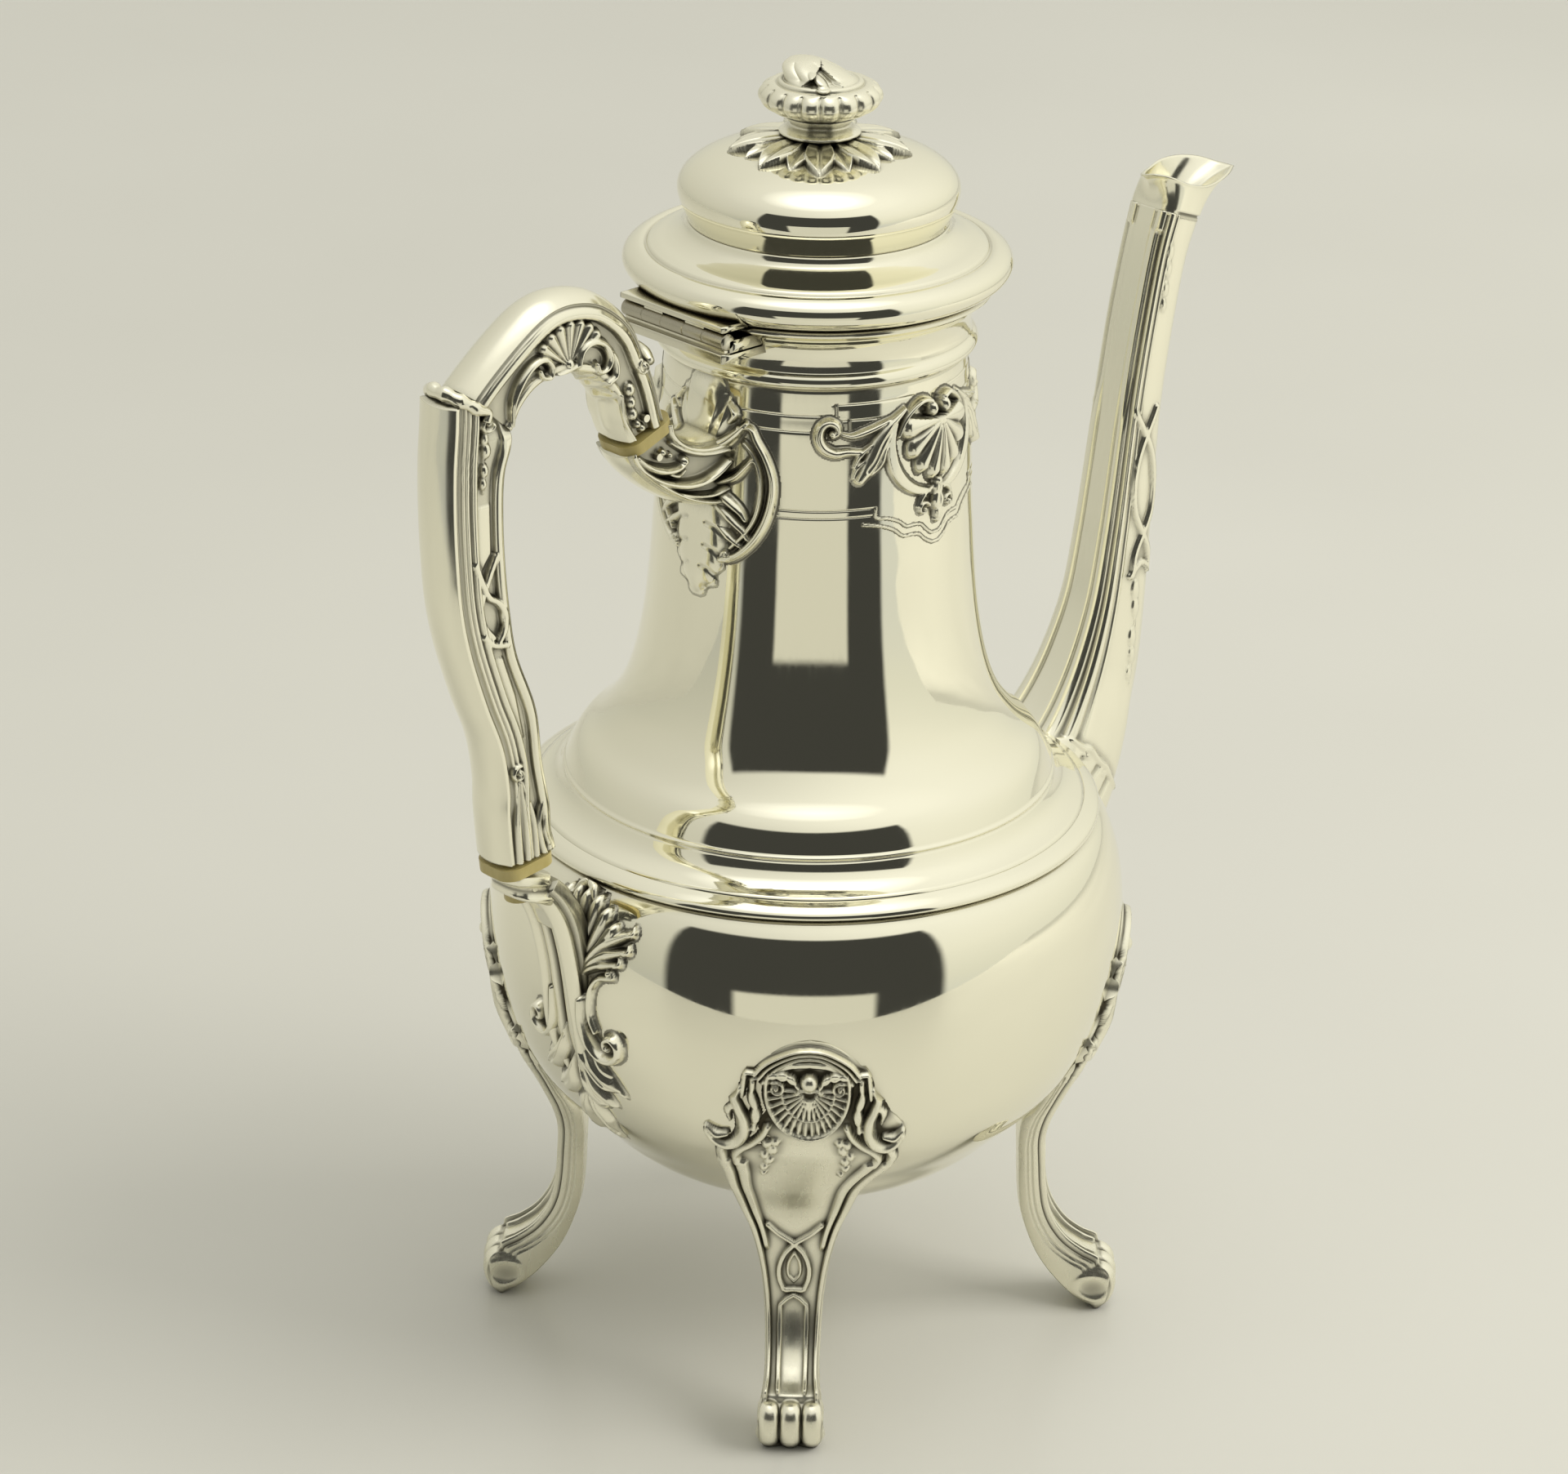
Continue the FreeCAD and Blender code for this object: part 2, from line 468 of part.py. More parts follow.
def loft(name, sections):
    lf = doc.addObject("Part::Loft", name)
    lf.Sections = sections
    lf.Solid = True
    lf.Ruled = False
    return lf


outer, inner = [], []
for i, (x, z, a, b) in enumerate(SPOUT):
    d = direction(i)
    outer.append(section("spout_out_%d" % i, x, z, d, a, b, "0"))
    e = -1.5 if i == 0 else (1.5 if i == len(SPOUT) - 1 else 0.0)
    inner.append(section("spout_in_%d" % i, x + e * d[0], z + e * d[1], d, a, b, "Dims.spout_wall"))
spout = cut("spout_tube", loft("spout_outside", outer), [loft("spout_inside", inner), body_core])

BEAK = [(100.0, 217.1, (0.36, 0.933), "tube_ra", "tube_ra"), (101.9, 221.0, (0.33, 0.944), "beak_mid_major", "beak_mid_minor"),
        (106.2, 224.6, (0.176, 0.984), "beak_major", "beak_minor")]
outer, inner = [], []
for i, (x, z, d, a, b) in enumerate(BEAK):
    outer.append(section("beak_out_%d" % i, x, z, d, a, b, "0"))
    e = (-1.0, 0.0, 1.0)[i]
    inner.append(section("beak_in_%d" % i, x + e * d[0], z + e * d[1], d, a, b, "Dims.spout_wall"))
beak = cut("spout_beak", loft("beak_outside", outer), [loft("beak_inside", inner)])

# ---------------------------------------------------------------- lid
L0 = D("lid_base")
fl_out = [(33.4, L0), (34.9, 224.9), (36.4, 225.8), (37.4, 227.0), (D("flange_radius"), 228.3), (37.2, 229.7), (35.9, 230.7), (34.4, 231.2), (D("flange_groove_radius"), 230.9)]
fl_cove = [(D("flange_groove_radius"), 230.9), (32.7, 231.6), (31.0, 232.5), (29.2, 233.5), (27.6, 234.7), (D("dome_seat_radius"), 236.05)]
fl_in = [(25.2, 236.05), (26.3, 234.4), (28.0, 232.9), (30.0, 231.5), (31.3, 230.0), (31.9, 228.0), (31.2, 225.9)]
flange = lathe("lid_flange", [fl_out, fl_cove, [fl_cove[-1], fl_in[0]], fl_in, [fl_in[-1], (D("bezel_inner_radius"), 225.9)],
                              [(D("bezel_inner_radius"), 225.9), (D("bezel_inner_radius"), L0)], [(D("bezel_inner_radius"), L0), fl_out[0]]],
               [(6, 1, "bezel_inner_radius", "lid_base")])
bez = [(D("bezel_inner_radius"), D("bezel_bottom")), (D("bezel_radius"), D("bezel_bottom")), (D("bezel_radius"), D("bezel_top")), (D("bezel_inner_radius"), D("bezel_top"))]
lathe("lid_bezel", polygon_runs(bez), [(0, 1, "bezel_inner_radius", "bezel_bottom"), (2, 1, "bezel_radius", "bezel_top")])

DR = D("dome_radius")
dome = [(D("dome_seat_radius"), D("dome_base")), (DR - 0.6, 238), (DR - 0.15, 240), (DR, 242), (DR - 0.4, 244), (DR - 1.75, 246), (22.4, 248), (17.3, 249.7), (12, 250.7), (6, 251.4), (D("stud_hole_radius"), D("dome_top"))]
dome_in = offset_inward(dome, W)
dome_in[0] = (dome[0][0] - W, dome[0][1])
dome_in[-1] = (D("stud_hole_radius"), D("dome_top") - W)
lathe("lid_dome", [dome, [dome[-1], dome_in[-1]], dome_in[::-1], [dome_in[0], dome[0]]], [(0, 1, "dome_seat_radius", "dome_base"), (0, 2, "stud_hole_radius", "dome_top")])

ros_low = [(D("stud_hole_radius"), D("dome_top") + 0.05), (6, 251.45), (12, 250.75), (D("rosette_radius"), 249.67)]
ros_top = [(D("rosette_radius"), 250.3), (14, 251.4), (10, 252.3), (7, 252.65), (D("stud_hole_radius"), 252.7)]
rosette = lathe("leaf_rosette", [ros_low, [ros_low[-1], ros_top[0]], ros_top, [ros_top[-1], ros_low[0]]])
star = sketch(rosette, "leaf_outline", "XY_Plane")
count = int(D("rosette_leaves"))
pts = []
for k in range(count):
    for f, rr in ((0.0, D("rosette_radius") - 0.2 - (1.4 if k % 2 else 0.0)), (0.5, D("rosette_notch_radius"))):
        t = 2 * math.pi * (k + f) / count
        pts.append((rr * math.cos(t), rr * math.sin(t)))
add_polygon(star, pts)
add_polygon(star, [(-30, -30), (30, -30), (30, 30), (-30, 30)])
notch = rosette.newObject("PartDesign::Pocket", "leaves_cut")
notch.Profile = star
notch.Type = "Length"
notch.SideType = "Symmetric"
notch.Length = 600

sb, st, sr = D("spool_base"), D("spool_top"), D("spool_radius")
spool = [(sr, sb), (sr + 0.5, sb + 0.6), (sr - 0.3, sb + 1.3), (sr - 1.6, sb + 2.2), (sr - 0.8, sb + 3.2), (sr - 0.2, st)]
lathe("finial_spool", [spool, [spool[-1], (D("stud_hole_radius"), st)], [(D("stud_hole_radius"), st), (D("stud_hole_radius"), sb)], [(D("stud_hole_radius"), sb), spool[0]]],
      [(0, 1, "spool_radius", "spool_base"), (2, 1, "stud_hole_radius", "spool_top")])
bb, bt, br = D("bud_base"), D("bud_top"), D("bud_radius")
bud = [(7.0, bb), (9.6, bb + 0.7), (11.4, bb + 2.0), (br, bb + 3.7), (11.2, bb + 5.3), (9.6, bb + 6.6), (8.0, bb + 8.1), (5.4, bb + 9.6), (2.4, bb + 10.35), (0, bt)]
sl = D("stud_bottom") + D("stud_length")
lathe("finial_bud", [bud, [(0, bt), (0, sl + 0.1)], [(0, sl + 0.1), (D("stud_hole_radius"), sl + 0.1)], [(D("stud_hole_radius"), sl + 0.1), (D("stud_hole_radius"), bb)], [(D("stud_hole_radius"), bb), bud[0]]],
      [(0, 2, None, "bud_top"), (3, 2, "stud_hole_radius", "bud_base")])
stud = cylinder("finial_stud", "stud_radius", "stud_length", Placement(Vector(0, 0, D("stud_bottom")), Rotation()))
stud.Label = "finial_stud"


def pierced(label, blank, height_cell, base_cell):
    blank.Placement = Placement(Vector(0, 0, D(base_cell)), Rotation())
    hole = cylinder(label + "_hole", "stud_hole_radius", height_cell, Placement(Vector(0, 0, D(base_cell) - 1), Rotation()), " + 2")
    return cut(label, blank, [hole])


nut = doc.addObject("Part::Prism", "nut_blank")
nut.Polygon = 6
nut.setExpression("Circumradius", "Dims.nut_across_corners_half")
nut.setExpression("Height", "Dims.nut_height")
pierced("finial_nut", nut, "nut_height", "nut_base")
wash = doc.addObject("Part::Cylinder", "washer_blank")
wash.setExpression("Radius", "Dims.washer_radius")
wash.setExpression("Height", "Dims.washer_height")
pierced("finial_washer", wash, "washer_height", "washer_base")

# ---------------------------------------------------------------- hinge at the handle side, its axis along Y
HX, HZ, KR = D("hinge_x"), D("hinge_z"), D("knuckle_radius")
fl_off = offset_outward(fl_out, 0.05)
flange_core = lathe("flange_clearance", [fl_off, [fl_off[-1], (0, 231.2)], [(0, 231.2), (0, L0 - 0.05)], [(0, L0 - 0.05), fl_off[0]]])


def box(name, x0, x1, y0, y1, z0, z1):
    b = doc.addObject("Part::Box", name)
    b.Length, b.Width, b.Height = x1 - x0, y1 - y0, z1 - z0
    b.Placement = Placement(Vector(x0, y0, z0), Rotation())
    return b


def knuckle(name, y0, y1):
    c = doc.addObject("Part::Cylinder", name)
    c.setExpression("Radius", "Dims.knuckle_radius")
    c.Height = y1 - y0
    c.Placement = Placement(Vector(HX, y0, HZ), Rotation(Vector(1, 0, 0), -90))
    return c


HL = D("hinge_half_length")
bore = doc.addObject("Part::Cylinder", "knuckle_bore")
bore.setExpression("Radius", "Dims.knuckle_bore")
bore.Height = 2 * HL + 6
bore.Placement = Placement(Vector(HX, -HL - 3, HZ), Rotation(Vector(1, 0, 0), -90))

shapes = [box("body_leaf_strip", HX - KR, -28.0, -HL, HL, HZ - 4.2, HZ - 2.1)]
for k, (y0, y1) in enumerate(((-HL, -8.7), (-2.75, 2.75), (8.7, HL))):
    shapes += [knuckle("body_knuckle_%d" % k, y0, y1), box("body_web_%d" % k, HX - KR + 0.1, HX + 0.9, y0, y1, HZ - 2.3, HZ)]
leaf = doc.addObject("Part::MultiFuse", "body_leaf_blank")
leaf.Shapes = shapes
cut("body_hinge_leaf", leaf, [collar_core, bore])

shapes = [box("lid_leaf_strip", HX - KR, -33.9, -HL, HL, HZ + 2.05, HZ + 3.2)]
for k, (y0, y1) in enumerate(((-8.4, -3.05), (3.05, 8.4))):
    shapes += [knuckle("lid_knuckle_%d" % k, y0, y1), box("lid_web_%d" % k, HX - KR + 0.1, HX + 1.3, y0, y1, HZ, HZ + 2.2)]
leaf = doc.addObject("Part::MultiFuse", "lid_leaf_blank")
leaf.Shapes = shapes
cut("lid_hinge_leaf", leaf, [flange_core, bore])
pin = doc.addObject("Part::Cylinder", "hinge_pin")
pin.Label = "hinge_pin"
pin.setExpression("Radius", "Dims.hinge_pin_radius")
pin.setExpression("Height", "2 * Dims.hinge_half_length")
pin.Placement = Placement(Vector(HX, -HL, HZ), Rotation(Vector(1, 0, 0), -90))

# ---------------------------------------------------------------- check and write
NODES = ["belly_bowl", "shoulder_moulding", "neck_shell", "mouth_collar", "spout_tube", "spout_beak",
         "foot_front_left", "foot_front_right", "foot_back_left", "foot_back_right", "neck_ornament_front", "neck_ornament_back",
         "upper_handle_socket", "lower_handle_socket", "upper_insulator", "lower_insulator", "handle_grip", "upper_handle_pins", "lower_handle_pins",
         "body_hinge_leaf", "lid_hinge_leaf", "hinge_pin", "lid_flange", "lid_bezel", "lid_dome", "leaf_rosette", "finial_spool", "finial_bud",
         "finial_stud", "finial_nut", "finial_washer"]
doc.recompute()
bad = [o.Label for o in doc.Objects if "Invalid" in o.State or "Error" in o.State]
if bad:
    raise RuntimeError("not computed: %s" % bad)
by_label = {}
for o in doc.Objects:
    by_label.setdefault(o.Label, []).append(o)
out = []
for n in NODES:
    found = by_label.get(n, [])
    if len(found) != 1:
        raise RuntimeError("%s: %d objects have this label" % (n, len(found)))
    s = found[0].Shape
    if s.isNull() or not s.isValid() or not s.Solids:
        raise RuntimeError("%s has no valid solid" % n)
    out.append((n, s))
os.makedirs("parts", exist_ok=True)
for n, s in out:
    s.exportStep("parts/%s.step" % n)
    bbx = s.BoundBox
    print("%-22s solids %d volume %9.1f  x %.1f..%.1f y %.1f..%.1f z %.1f..%.1f" % (n, len(s.Solids), s.Volume, bbx.XMin, bbx.XMax, bbx.YMin, bbx.YMax, bbx.ZMin, bbx.ZMax))
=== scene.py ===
import math

import bpy
import numpy as np
from mathutils import Matrix, Vector


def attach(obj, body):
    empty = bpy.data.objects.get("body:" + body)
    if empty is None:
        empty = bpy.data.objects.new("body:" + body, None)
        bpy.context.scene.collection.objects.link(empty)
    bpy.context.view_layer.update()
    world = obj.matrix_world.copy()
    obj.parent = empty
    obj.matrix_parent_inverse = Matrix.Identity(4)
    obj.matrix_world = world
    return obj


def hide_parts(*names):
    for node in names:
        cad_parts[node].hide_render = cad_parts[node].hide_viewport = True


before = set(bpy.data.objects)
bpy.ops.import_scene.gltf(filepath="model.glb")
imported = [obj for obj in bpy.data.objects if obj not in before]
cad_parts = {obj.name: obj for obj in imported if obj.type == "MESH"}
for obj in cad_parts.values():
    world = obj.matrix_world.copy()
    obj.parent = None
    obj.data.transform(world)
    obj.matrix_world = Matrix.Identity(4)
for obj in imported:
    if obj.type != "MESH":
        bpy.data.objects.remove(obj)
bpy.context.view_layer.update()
MM = 0.001
HIDE = -1.2


# ------------------------------------------------------------------ curves
def resample(P, n):
    P = np.asarray(P, float)
    d = np.r_[0, np.cumsum(np.linalg.norm(np.diff(P, axis=0), axis=1))]
    t = np.linspace(0, d[-1], n)
    return np.stack([np.interp(t, d, P[:, k]) for k in range(P.shape[1])], 1)


def curve(pts, step=0.3, n=None, smooth=True):
    # a smooth curve through the points, evenly sampled
    P = np.asarray(pts, float)
    if smooth and len(P) > 2:
        seg = np.maximum(np.linalg.norm(np.diff(P, axis=0), axis=1), 1e-6)
        t = np.r_[0, np.cumsum(np.sqrt(seg))]
        m = np.zeros_like(P)
        dt = np.diff(t)[:, None]
        sl = np.diff(P, axis=0) / dt
        m[1:-1] = (sl[:-1] * dt[1:] + sl[1:] * dt[:-1]) / (dt[1:] + dt[:-1])
        m[0], m[-1] = sl[0], sl[-1]
        out = []
        for i in range(len(P) - 1):
            u = np.linspace(0, 1, 17)[:-1][:, None]
            h = t[i + 1] - t[i]
            out.append((2 * u**3 - 3 * u**2 + 1) * P[i] + (u**3 - 2 * u**2 + u) * h * m[i]
                       + (-2 * u**3 + 3 * u**2) * P[i + 1] + (u**3 - u**2) * h * m[i + 1])
        P = np.concatenate(out + [P[-1:]])
    L = np.linalg.norm(np.diff(P, axis=0), axis=1).sum()
    if n is None:
        n = max(2, int(math.ceil(L / step)) + 1)
    return resample(P, n)


def smoothstep(a, b, x):
    t = np.clip((x - a) / (b - a), 0, 1)
    return t * t * (3 - 2 * t)


def offset_line(P, w):
    P = np.asarray(P, float)
    d = np.gradient(P, axis=0)
    d /= np.maximum(np.linalg.norm(d, axis=1, keepdims=True), 1e-9)
    return P + w * np.stack([-d[:, 1], d[:, 0]], 1)


# ------------------------------------------------------------------ meshes
def make(name, V, Q, T=None, cav=None):
    V = np.asarray(V, float)
    Q = np.asarray(Q, int).reshape(-1, 4)
    T = np.zeros((0, 3), int) if T is None else np.asarray(T, int).reshape(-1, 3)
    tri = np.concatenate([Q[:, [0, 1, 2]], Q[:, [0, 2, 3]], T])
    c = V.mean(0)
    vol = np.einsum("ij,ij->i", V[tri[:, 0]] - c, np.cross(V[tri[:, 1]] - c, V[tri[:, 2]] - c)).sum()
    if vol < 0:
        Q, T = Q[:, ::-1], T[:, ::-1]
    me = bpy.data.meshes.new(name)
    me.from_pydata((V * MM).tolist(), [], Q.tolist() + T.tolist())
    me.update()
    a = me.attributes.new("cav", "FLOAT", "POINT")
    if cav is not None:
        a.data.foreach_set("value", np.asarray(cav, np.float32).ravel())
    me.polygons.foreach_set("use_smooth", np.ones(len(me.polygons), bool))
    ob = bpy.data.objects.new(name, me)
    bpy.context.scene.collection.objects.link(ob)
    return ob


def quads(m, n, off=0, wrap=False):
    i, j = np.meshgrid(np.arange(m - 1), np.arange(n if wrap else n - 1), indexing="ij")
    k = (j + 1) % n
    return (off + np.stack([i * n + j, i * n + k, (i + 1) * n + k, (i + 1) * n + j], -1)).reshape(-1, 4)


def loft(name, G, cav=None, cap=True):
    # closed sections G[m, n, 3] joined in turn, ends closed by a fan
    m, n = G.shape[:2]
    V = G.reshape(-1, 3)
    Q = quads(m, n, 0, True)
    T = []
    if cap:
        a, b = len(V), len(V) + 1
        V = np.concatenate([V, G[0].mean(0)[None], G[-1].mean(0)[None]])
        j = np.arange(n)
        k = (j + 1) % n
        T = np.concatenate([np.stack([np.full(n, a), k, j], 1), np.stack([np.full(n, b), (m - 1) * n + j, (m - 1) * n + k], 1)])
        if cav is not None:
            cav = np.r_[cav.ravel(), 0.3, 0.3]
    return make(name, V, Q, T, cav)


def ring(name, G, cav=None):
    # closed in both directions
    m, n = G.shape[:2]
    Q = quads(m, n, 0, True)
    j = np.arange(n)
    k = (j + 1) % n
    Q = np.concatenate([Q, np.stack([(m - 1) * n + j, (m - 1) * n + k, k, j], 1)])
    return make(name, G.reshape(-1, 3), Q, None, cav)


def turned(name, prof, seg=256, shape=None):
    # a closed profile (r, z) turned about the axis; ends on the axis become poles
    P = np.asarray(prof, float)
    th = np.linspace(0, 2 * np.pi, seg, endpoint=False)
    R = np.repeat(P[:, :1], seg, 1)
    Z = np.repeat(P[:, 1:2], seg, 1)
    if shape is not None:
        R, Z = shape(R, Z, th[None, :])
    G = np.stack([R * np.cos(th), R * np.sin(th), Z], -1)
    if P[0, 0] > 1e-6:
        return ring(name, G)
    m = len(P)
    V = G[1:-1].reshape(-1, 3)
    Q = quads(m - 2, seg, 0, True)
    a = len(V)
    V = np.concatenate([V, [[0, 0, P[0, 1]], [0, 0, P[-1, 1]]]])
    j = np.arange(seg)
    k = (j + 1) % seg
    T = np.concatenate([np.stack([np.full(seg, a), k, j], 1), np.stack([np.full(seg, a + 1), (m - 3) * seg + j, (m - 3) * seg + k], 1)])
    return make(name, V, Q, T)


def sheets(name, A, B, cav=None):
    # two matching sheets joined all round their border
    m, n = A.shape[:2]
    V = np.concatenate([A.reshape(-1, 3), B.reshape(-1, 3)])
    o = m * n
    qa = quads(m, n)
    qb = quads(m, n, o)[:, ::-1]
    b = np.r_[np.arange(n), np.arange(1, m) * n + n - 1, (m - 1) * n + np.arange(n - 2, -1, -1), np.arange(m - 2, 0, -1) * n]
    c = np.roll(b, -1)
    side = np.stack([c, b, b + o, c + o], 1)
    if cav is not None:
        cav = np.r_[cav.ravel(), np.full(o, 0.5)]
    return make(name, V, np.concatenate([qa, qb, side]), None, cav)


def patch(name, A, B, mask, cav):
    # the cells of two sheets where mask holds, closed round every border
    m, n = A.shape[:2]
    keep = mask.copy()
    for _ in range(3):
        a, b, c, d = keep[:-1, :-1], keep[1:, 1:], keep[:-1, 1:], keep[1:, :-1]
        x = (a & b & ~c & ~d)
        y = (c & d & ~a & ~b)
        if not (x.any() or y.any()):
            break
        keep[:-1, 1:] |= x
        keep[:-1, :-1] |= y
    qa = quads(m, n).reshape(m - 1, n - 1, 4)
    o = m * n
    pad = np.zeros((m + 1, n + 1), bool)
    pad[1:-1, 1:-1] = keep
    F = [qa[keep], (qa[keep] + o)[:, ::-1]]
    for (di, dj), (p, q) in {(-1, 0): (0, 1), (0, 1): (1, 2), (1, 0): (2, 3), (0, -1): (3, 0)}.items():
        e = keep & ~pad[1 + di:m + di, 1 + dj:n + dj]
        s = qa[e]
        F.append(np.stack([s[:, q], s[:, p], s[:, p] + o, s[:, q] + o], 1))
    Q = np.concatenate(F)
    V = np.concatenate([A.reshape(-1, 3), B.reshape(-1, 3)])
    cv = np.r_[cav.ravel(), np.full(o, 0.5)]
    used, inv = np.unique(Q, return_inverse=True)
    return make(name, V[used], inv.reshape(-1, 4), None, cv[used])


# ------------------------------------------------------------------ relief drawn on a chart
class Relief:
    def __init__(self, X, Y, level=HIDE):
        self.X, self.Y = X, Y
        self.H = np.full(X.shape, float(level))

    def near(self, P, margin):
        lo, hi = P.min(0) - margin, P.max(0) + margin
        return np.nonzero((self.X > lo[0]) & (self.X < hi[0]) & (self.Y > lo[1]) & (self.Y < hi[1]))

    def distance(self, P, margin):
        # distance to the polyline, place along it and side of it, for the nearby points
        k = self.near(P, margin)
        x, y = self.X[k], self.Y[k]
        best = np.full(x.shape, 1e9)
        at = np.zeros(x.shape)
        sd = np.zeros(x.shape)
        L = np.linalg.norm(np.diff(P, axis=0), axis=1)
        s0 = np.r_[0, np.cumsum(L)]
        for i in range(len(P) - 1):
            d = P[i + 1] - P[i]
            q = max(L[i], 1e-9)
            ux, uy = d / q
            rx, ry = x - P[i, 0], y - P[i, 1]
            t = np.clip(rx * ux + ry * uy, 0, q)
            ex, ey = rx - t * ux, ry - t * uy
            dd = ex * ex + ey * ey
            b = dd < best
            best[b] = dd[b]
            at[b] = s0[i] + t[b]
            sd[b] = (ux * ry - uy * rx)[b]
        return k, np.sqrt(best), at / max(s0[-1], 1e-9), np.sign(sd), s0[-1]

    def put(self, k, h):
        self.H[k] = np.maximum(self.H[k], h)

    def stroke(self, pts, w, h, kind="round", base=0.0, smooth=True):
        w, h = np.atleast_1d(np.asarray(w, float)), np.atleast_1d(np.asarray(h, float))
        P = curve(pts, 0.35, smooth=smooth)
        k, d, t, _, _ = self.distance(P, w.max() + 1.0)
        wv = np.interp(t, np.linspace(0, 1, len(w)), w)
        hv = np.interp(t, np.linspace(0, 1, len(h)), h)
        q = d / wv
        if kind == "round":
            v = hv * (1 - q * q)
        elif kind == "flat":
            v = hv * np.clip((1 - q) / 0.35, 0, 1)
        else:
            v = hv * (1 - q)
        v = np.where(q < 1, v, -(d - wv) * 1.4)
        self.put(k, base + v)

    def groove(self, pts, w, depth, smooth=True):
        P = curve(pts, 0.35, smooth=smooth)
        k, d, t, _, _ = self.distance(P, w + 0.3)
        self.H[k] -= depth * np.clip(1 - (d / w) ** 2, 0, 1)

    def bead(self, c, r, h, base=0.0, stretch=1.0):
        k = self.near(np.array([c]), r * max(1, stretch) + 1)
        d = np.hypot(self.X[k] - c[0], (self.Y[k] - c[1]) / stretch)
        self.put(k, base + np.where(d < r, h * np.sqrt(np.clip(1 - (d / r) ** 2, 0, 1)), -(d - r) * 1.4))

    def fan(self, c, a0, a1, r1, n, h, r0=0.0, squash=1.0, base=0.0, dish=0.35, scallop=0.09, dome=False):
        a0, a1 = math.radians(a0), math.radians(a1)
        k = self.near(np.array([c]), r1 * max(1, squash) + 1)
        x, y = self.X[k] - c[0], (self.Y[k] - c[1]) / squash
        r, a = np.hypot(x, y), np.arctan2(y, x)
        mid = (a0 + a1) / 2
        a = (a - mid + np.pi) % (2 * np.pi) - np.pi
        half = (a1 - a0) / 2
        f = (a + half) / (2 * half) * n
        lobe = np.abs(np.sin(np.pi * f)) ** 0.7
        R = r1 * (1 - scallop * (1 - lobe))
        q = np.clip(r / R, 0, 1)
        if dome:
            v = h * (1 - 0.25 * q**2) * (1 - 0.42 * (1 - lobe) * np.clip(q * 1.6, 0, 1)) * np.clip((1 - q) / 0.14, 0, 1) ** 0.5
        else:
            v = h * (dish + (1 - dish) * q**1.2) * np.clip((1 - q) / 0.10, 0, 1) ** 0.5 * (0.45 + 0.55 * lobe)
        out = np.maximum.reduce([(r - R), (np.abs(a) - half) * r, (r0 - r)])
        self.put(k, base + np.where(out < 0, v, -out * 1.4))

    def volute(self, c, r, turns, a0, sense, w, h, base=0.0):
        t = np.linspace(0, 1, 44)
        ang = math.radians(a0) + sense * 2 * np.pi * turns * t
        rad = r * (1 - 0.78 * t)
        P = np.stack([c[0] + rad * np.cos(ang), c[1] + rad * np.sin(ang)], 1)
        self.stroke(P, [w, w * 0.6], [h, h * 0.9], base=base, smooth=False)
        self.bead(c, r * 0.3, h * 1.15, base)

    def leaf(self, axis, width, h, n, base=0.0, vein=0.32, curl=0.5, cut=0.35):
        # a smooth acanthus leaf: lobed edge, raised middle, shallow veins between the lobes
        width = np.atleast_1d(np.asarray(width, float))
        P = curve(axis, 0.35)
        k, d, t, s, L = self.distance(P, width.max() + 1)
        W = np.interp(t, np.linspace(0, 1, len(width)), width)
        f = n * (t - curl * d / L) + 0.5
        lobe = np.abs(np.sin(np.pi * f)) ** 0.6
        edge = np.clip(d / np.maximum(W, 0.05), 0, 1)
        W = np.maximum(W * (1 - cut * (1 - lobe)), 0.05)
        q = np.clip(d / W, 0, 1)
        v = h * (1 - 0.4 * q * q) - vein * h * (1 - lobe) * np.clip(edge * 1.4, 0, 1) - 0.22 * h * np.exp(-(d / 0.32) ** 2)
        v = v * np.clip((1 - q) / 0.22, 0, 1) ** 0.5
        self.put(k, base + np.where(d < W, v, -(d - W) * 1.4))

    def plate(self, poly, h, bevel, base=0.0, smooth=False):
        P = curve(list(poly) + [poly[0]], 0.35, smooth=smooth)
        k, d, _, _, _ = self.distance(P, bevel + 1)
        x, y = self.X[k], self.Y[k]
        ins = np.zeros(x.shape, bool)
        for i in range(len(P) - 1):
            (x0, y0), (x1, y1) = P[i], P[i + 1]
            c = (y0 > y) != (y1 > y)
            ins ^= c & (x < (x1 - x0) * (y - y0) / (y1 - y0 + 1e-12) + x0)
        v = np.where(ins, h * np.clip(d / bevel, 0, 1) ** 0.6, -d * 1.4)
        self.put(k, base + v)

    def soft(self, poly, h, bevel, base=0.0, blur=5):
        # a pillow-shaped leaf: rounded like plate, then smoothed
        old = self.H
        self.H = np.full(old.shape, -3.0)
        self.plate(poly, h, bevel, 0.0, True)
        v, ins = np.maximum(self.H, -0.8), self.H > 0
        for _ in range(3):
            for ax in (0, 1):
                q = np.pad(v, [(blur, blur) if a == ax else (0, 0) for a in (0, 1)], mode="edge")
                c = np.cumsum(np.insert(q, 0, 0, axis=ax), axis=ax)
                n = 2 * blur + 1
                v = (np.take(c, np.arange(n, c.shape[ax]), ax) - np.take(c, np.arange(0, c.shape[ax] - n), ax)) / n
        self.H = np.where(ins, np.maximum(old, base + np.maximum(v, 0.25)), old)
        self.plate(poly, 0.3, 0.5, base, True)

    def cavity(self, radius):
        # how far each point lies below its surroundings
        H = np.maximum(self.H, -0.35)
        B = H.copy()
        for _ in range(3):
            for ax in (0, 1):
                p = np.pad(B, [(radius, radius) if a == ax else (0, 0) for a in (0, 1)], mode="edge")
                c = np.cumsum(np.insert(p, 0, 0, axis=ax), axis=ax)
                w = 2 * radius + 1
                B = (np.take(c, np.arange(w, c.shape[ax]), ax) - np.take(c, np.arange(0, c.shape[ax] - w), ax)) / w
        return np.clip((B - H) / 0.45, 0, 1)


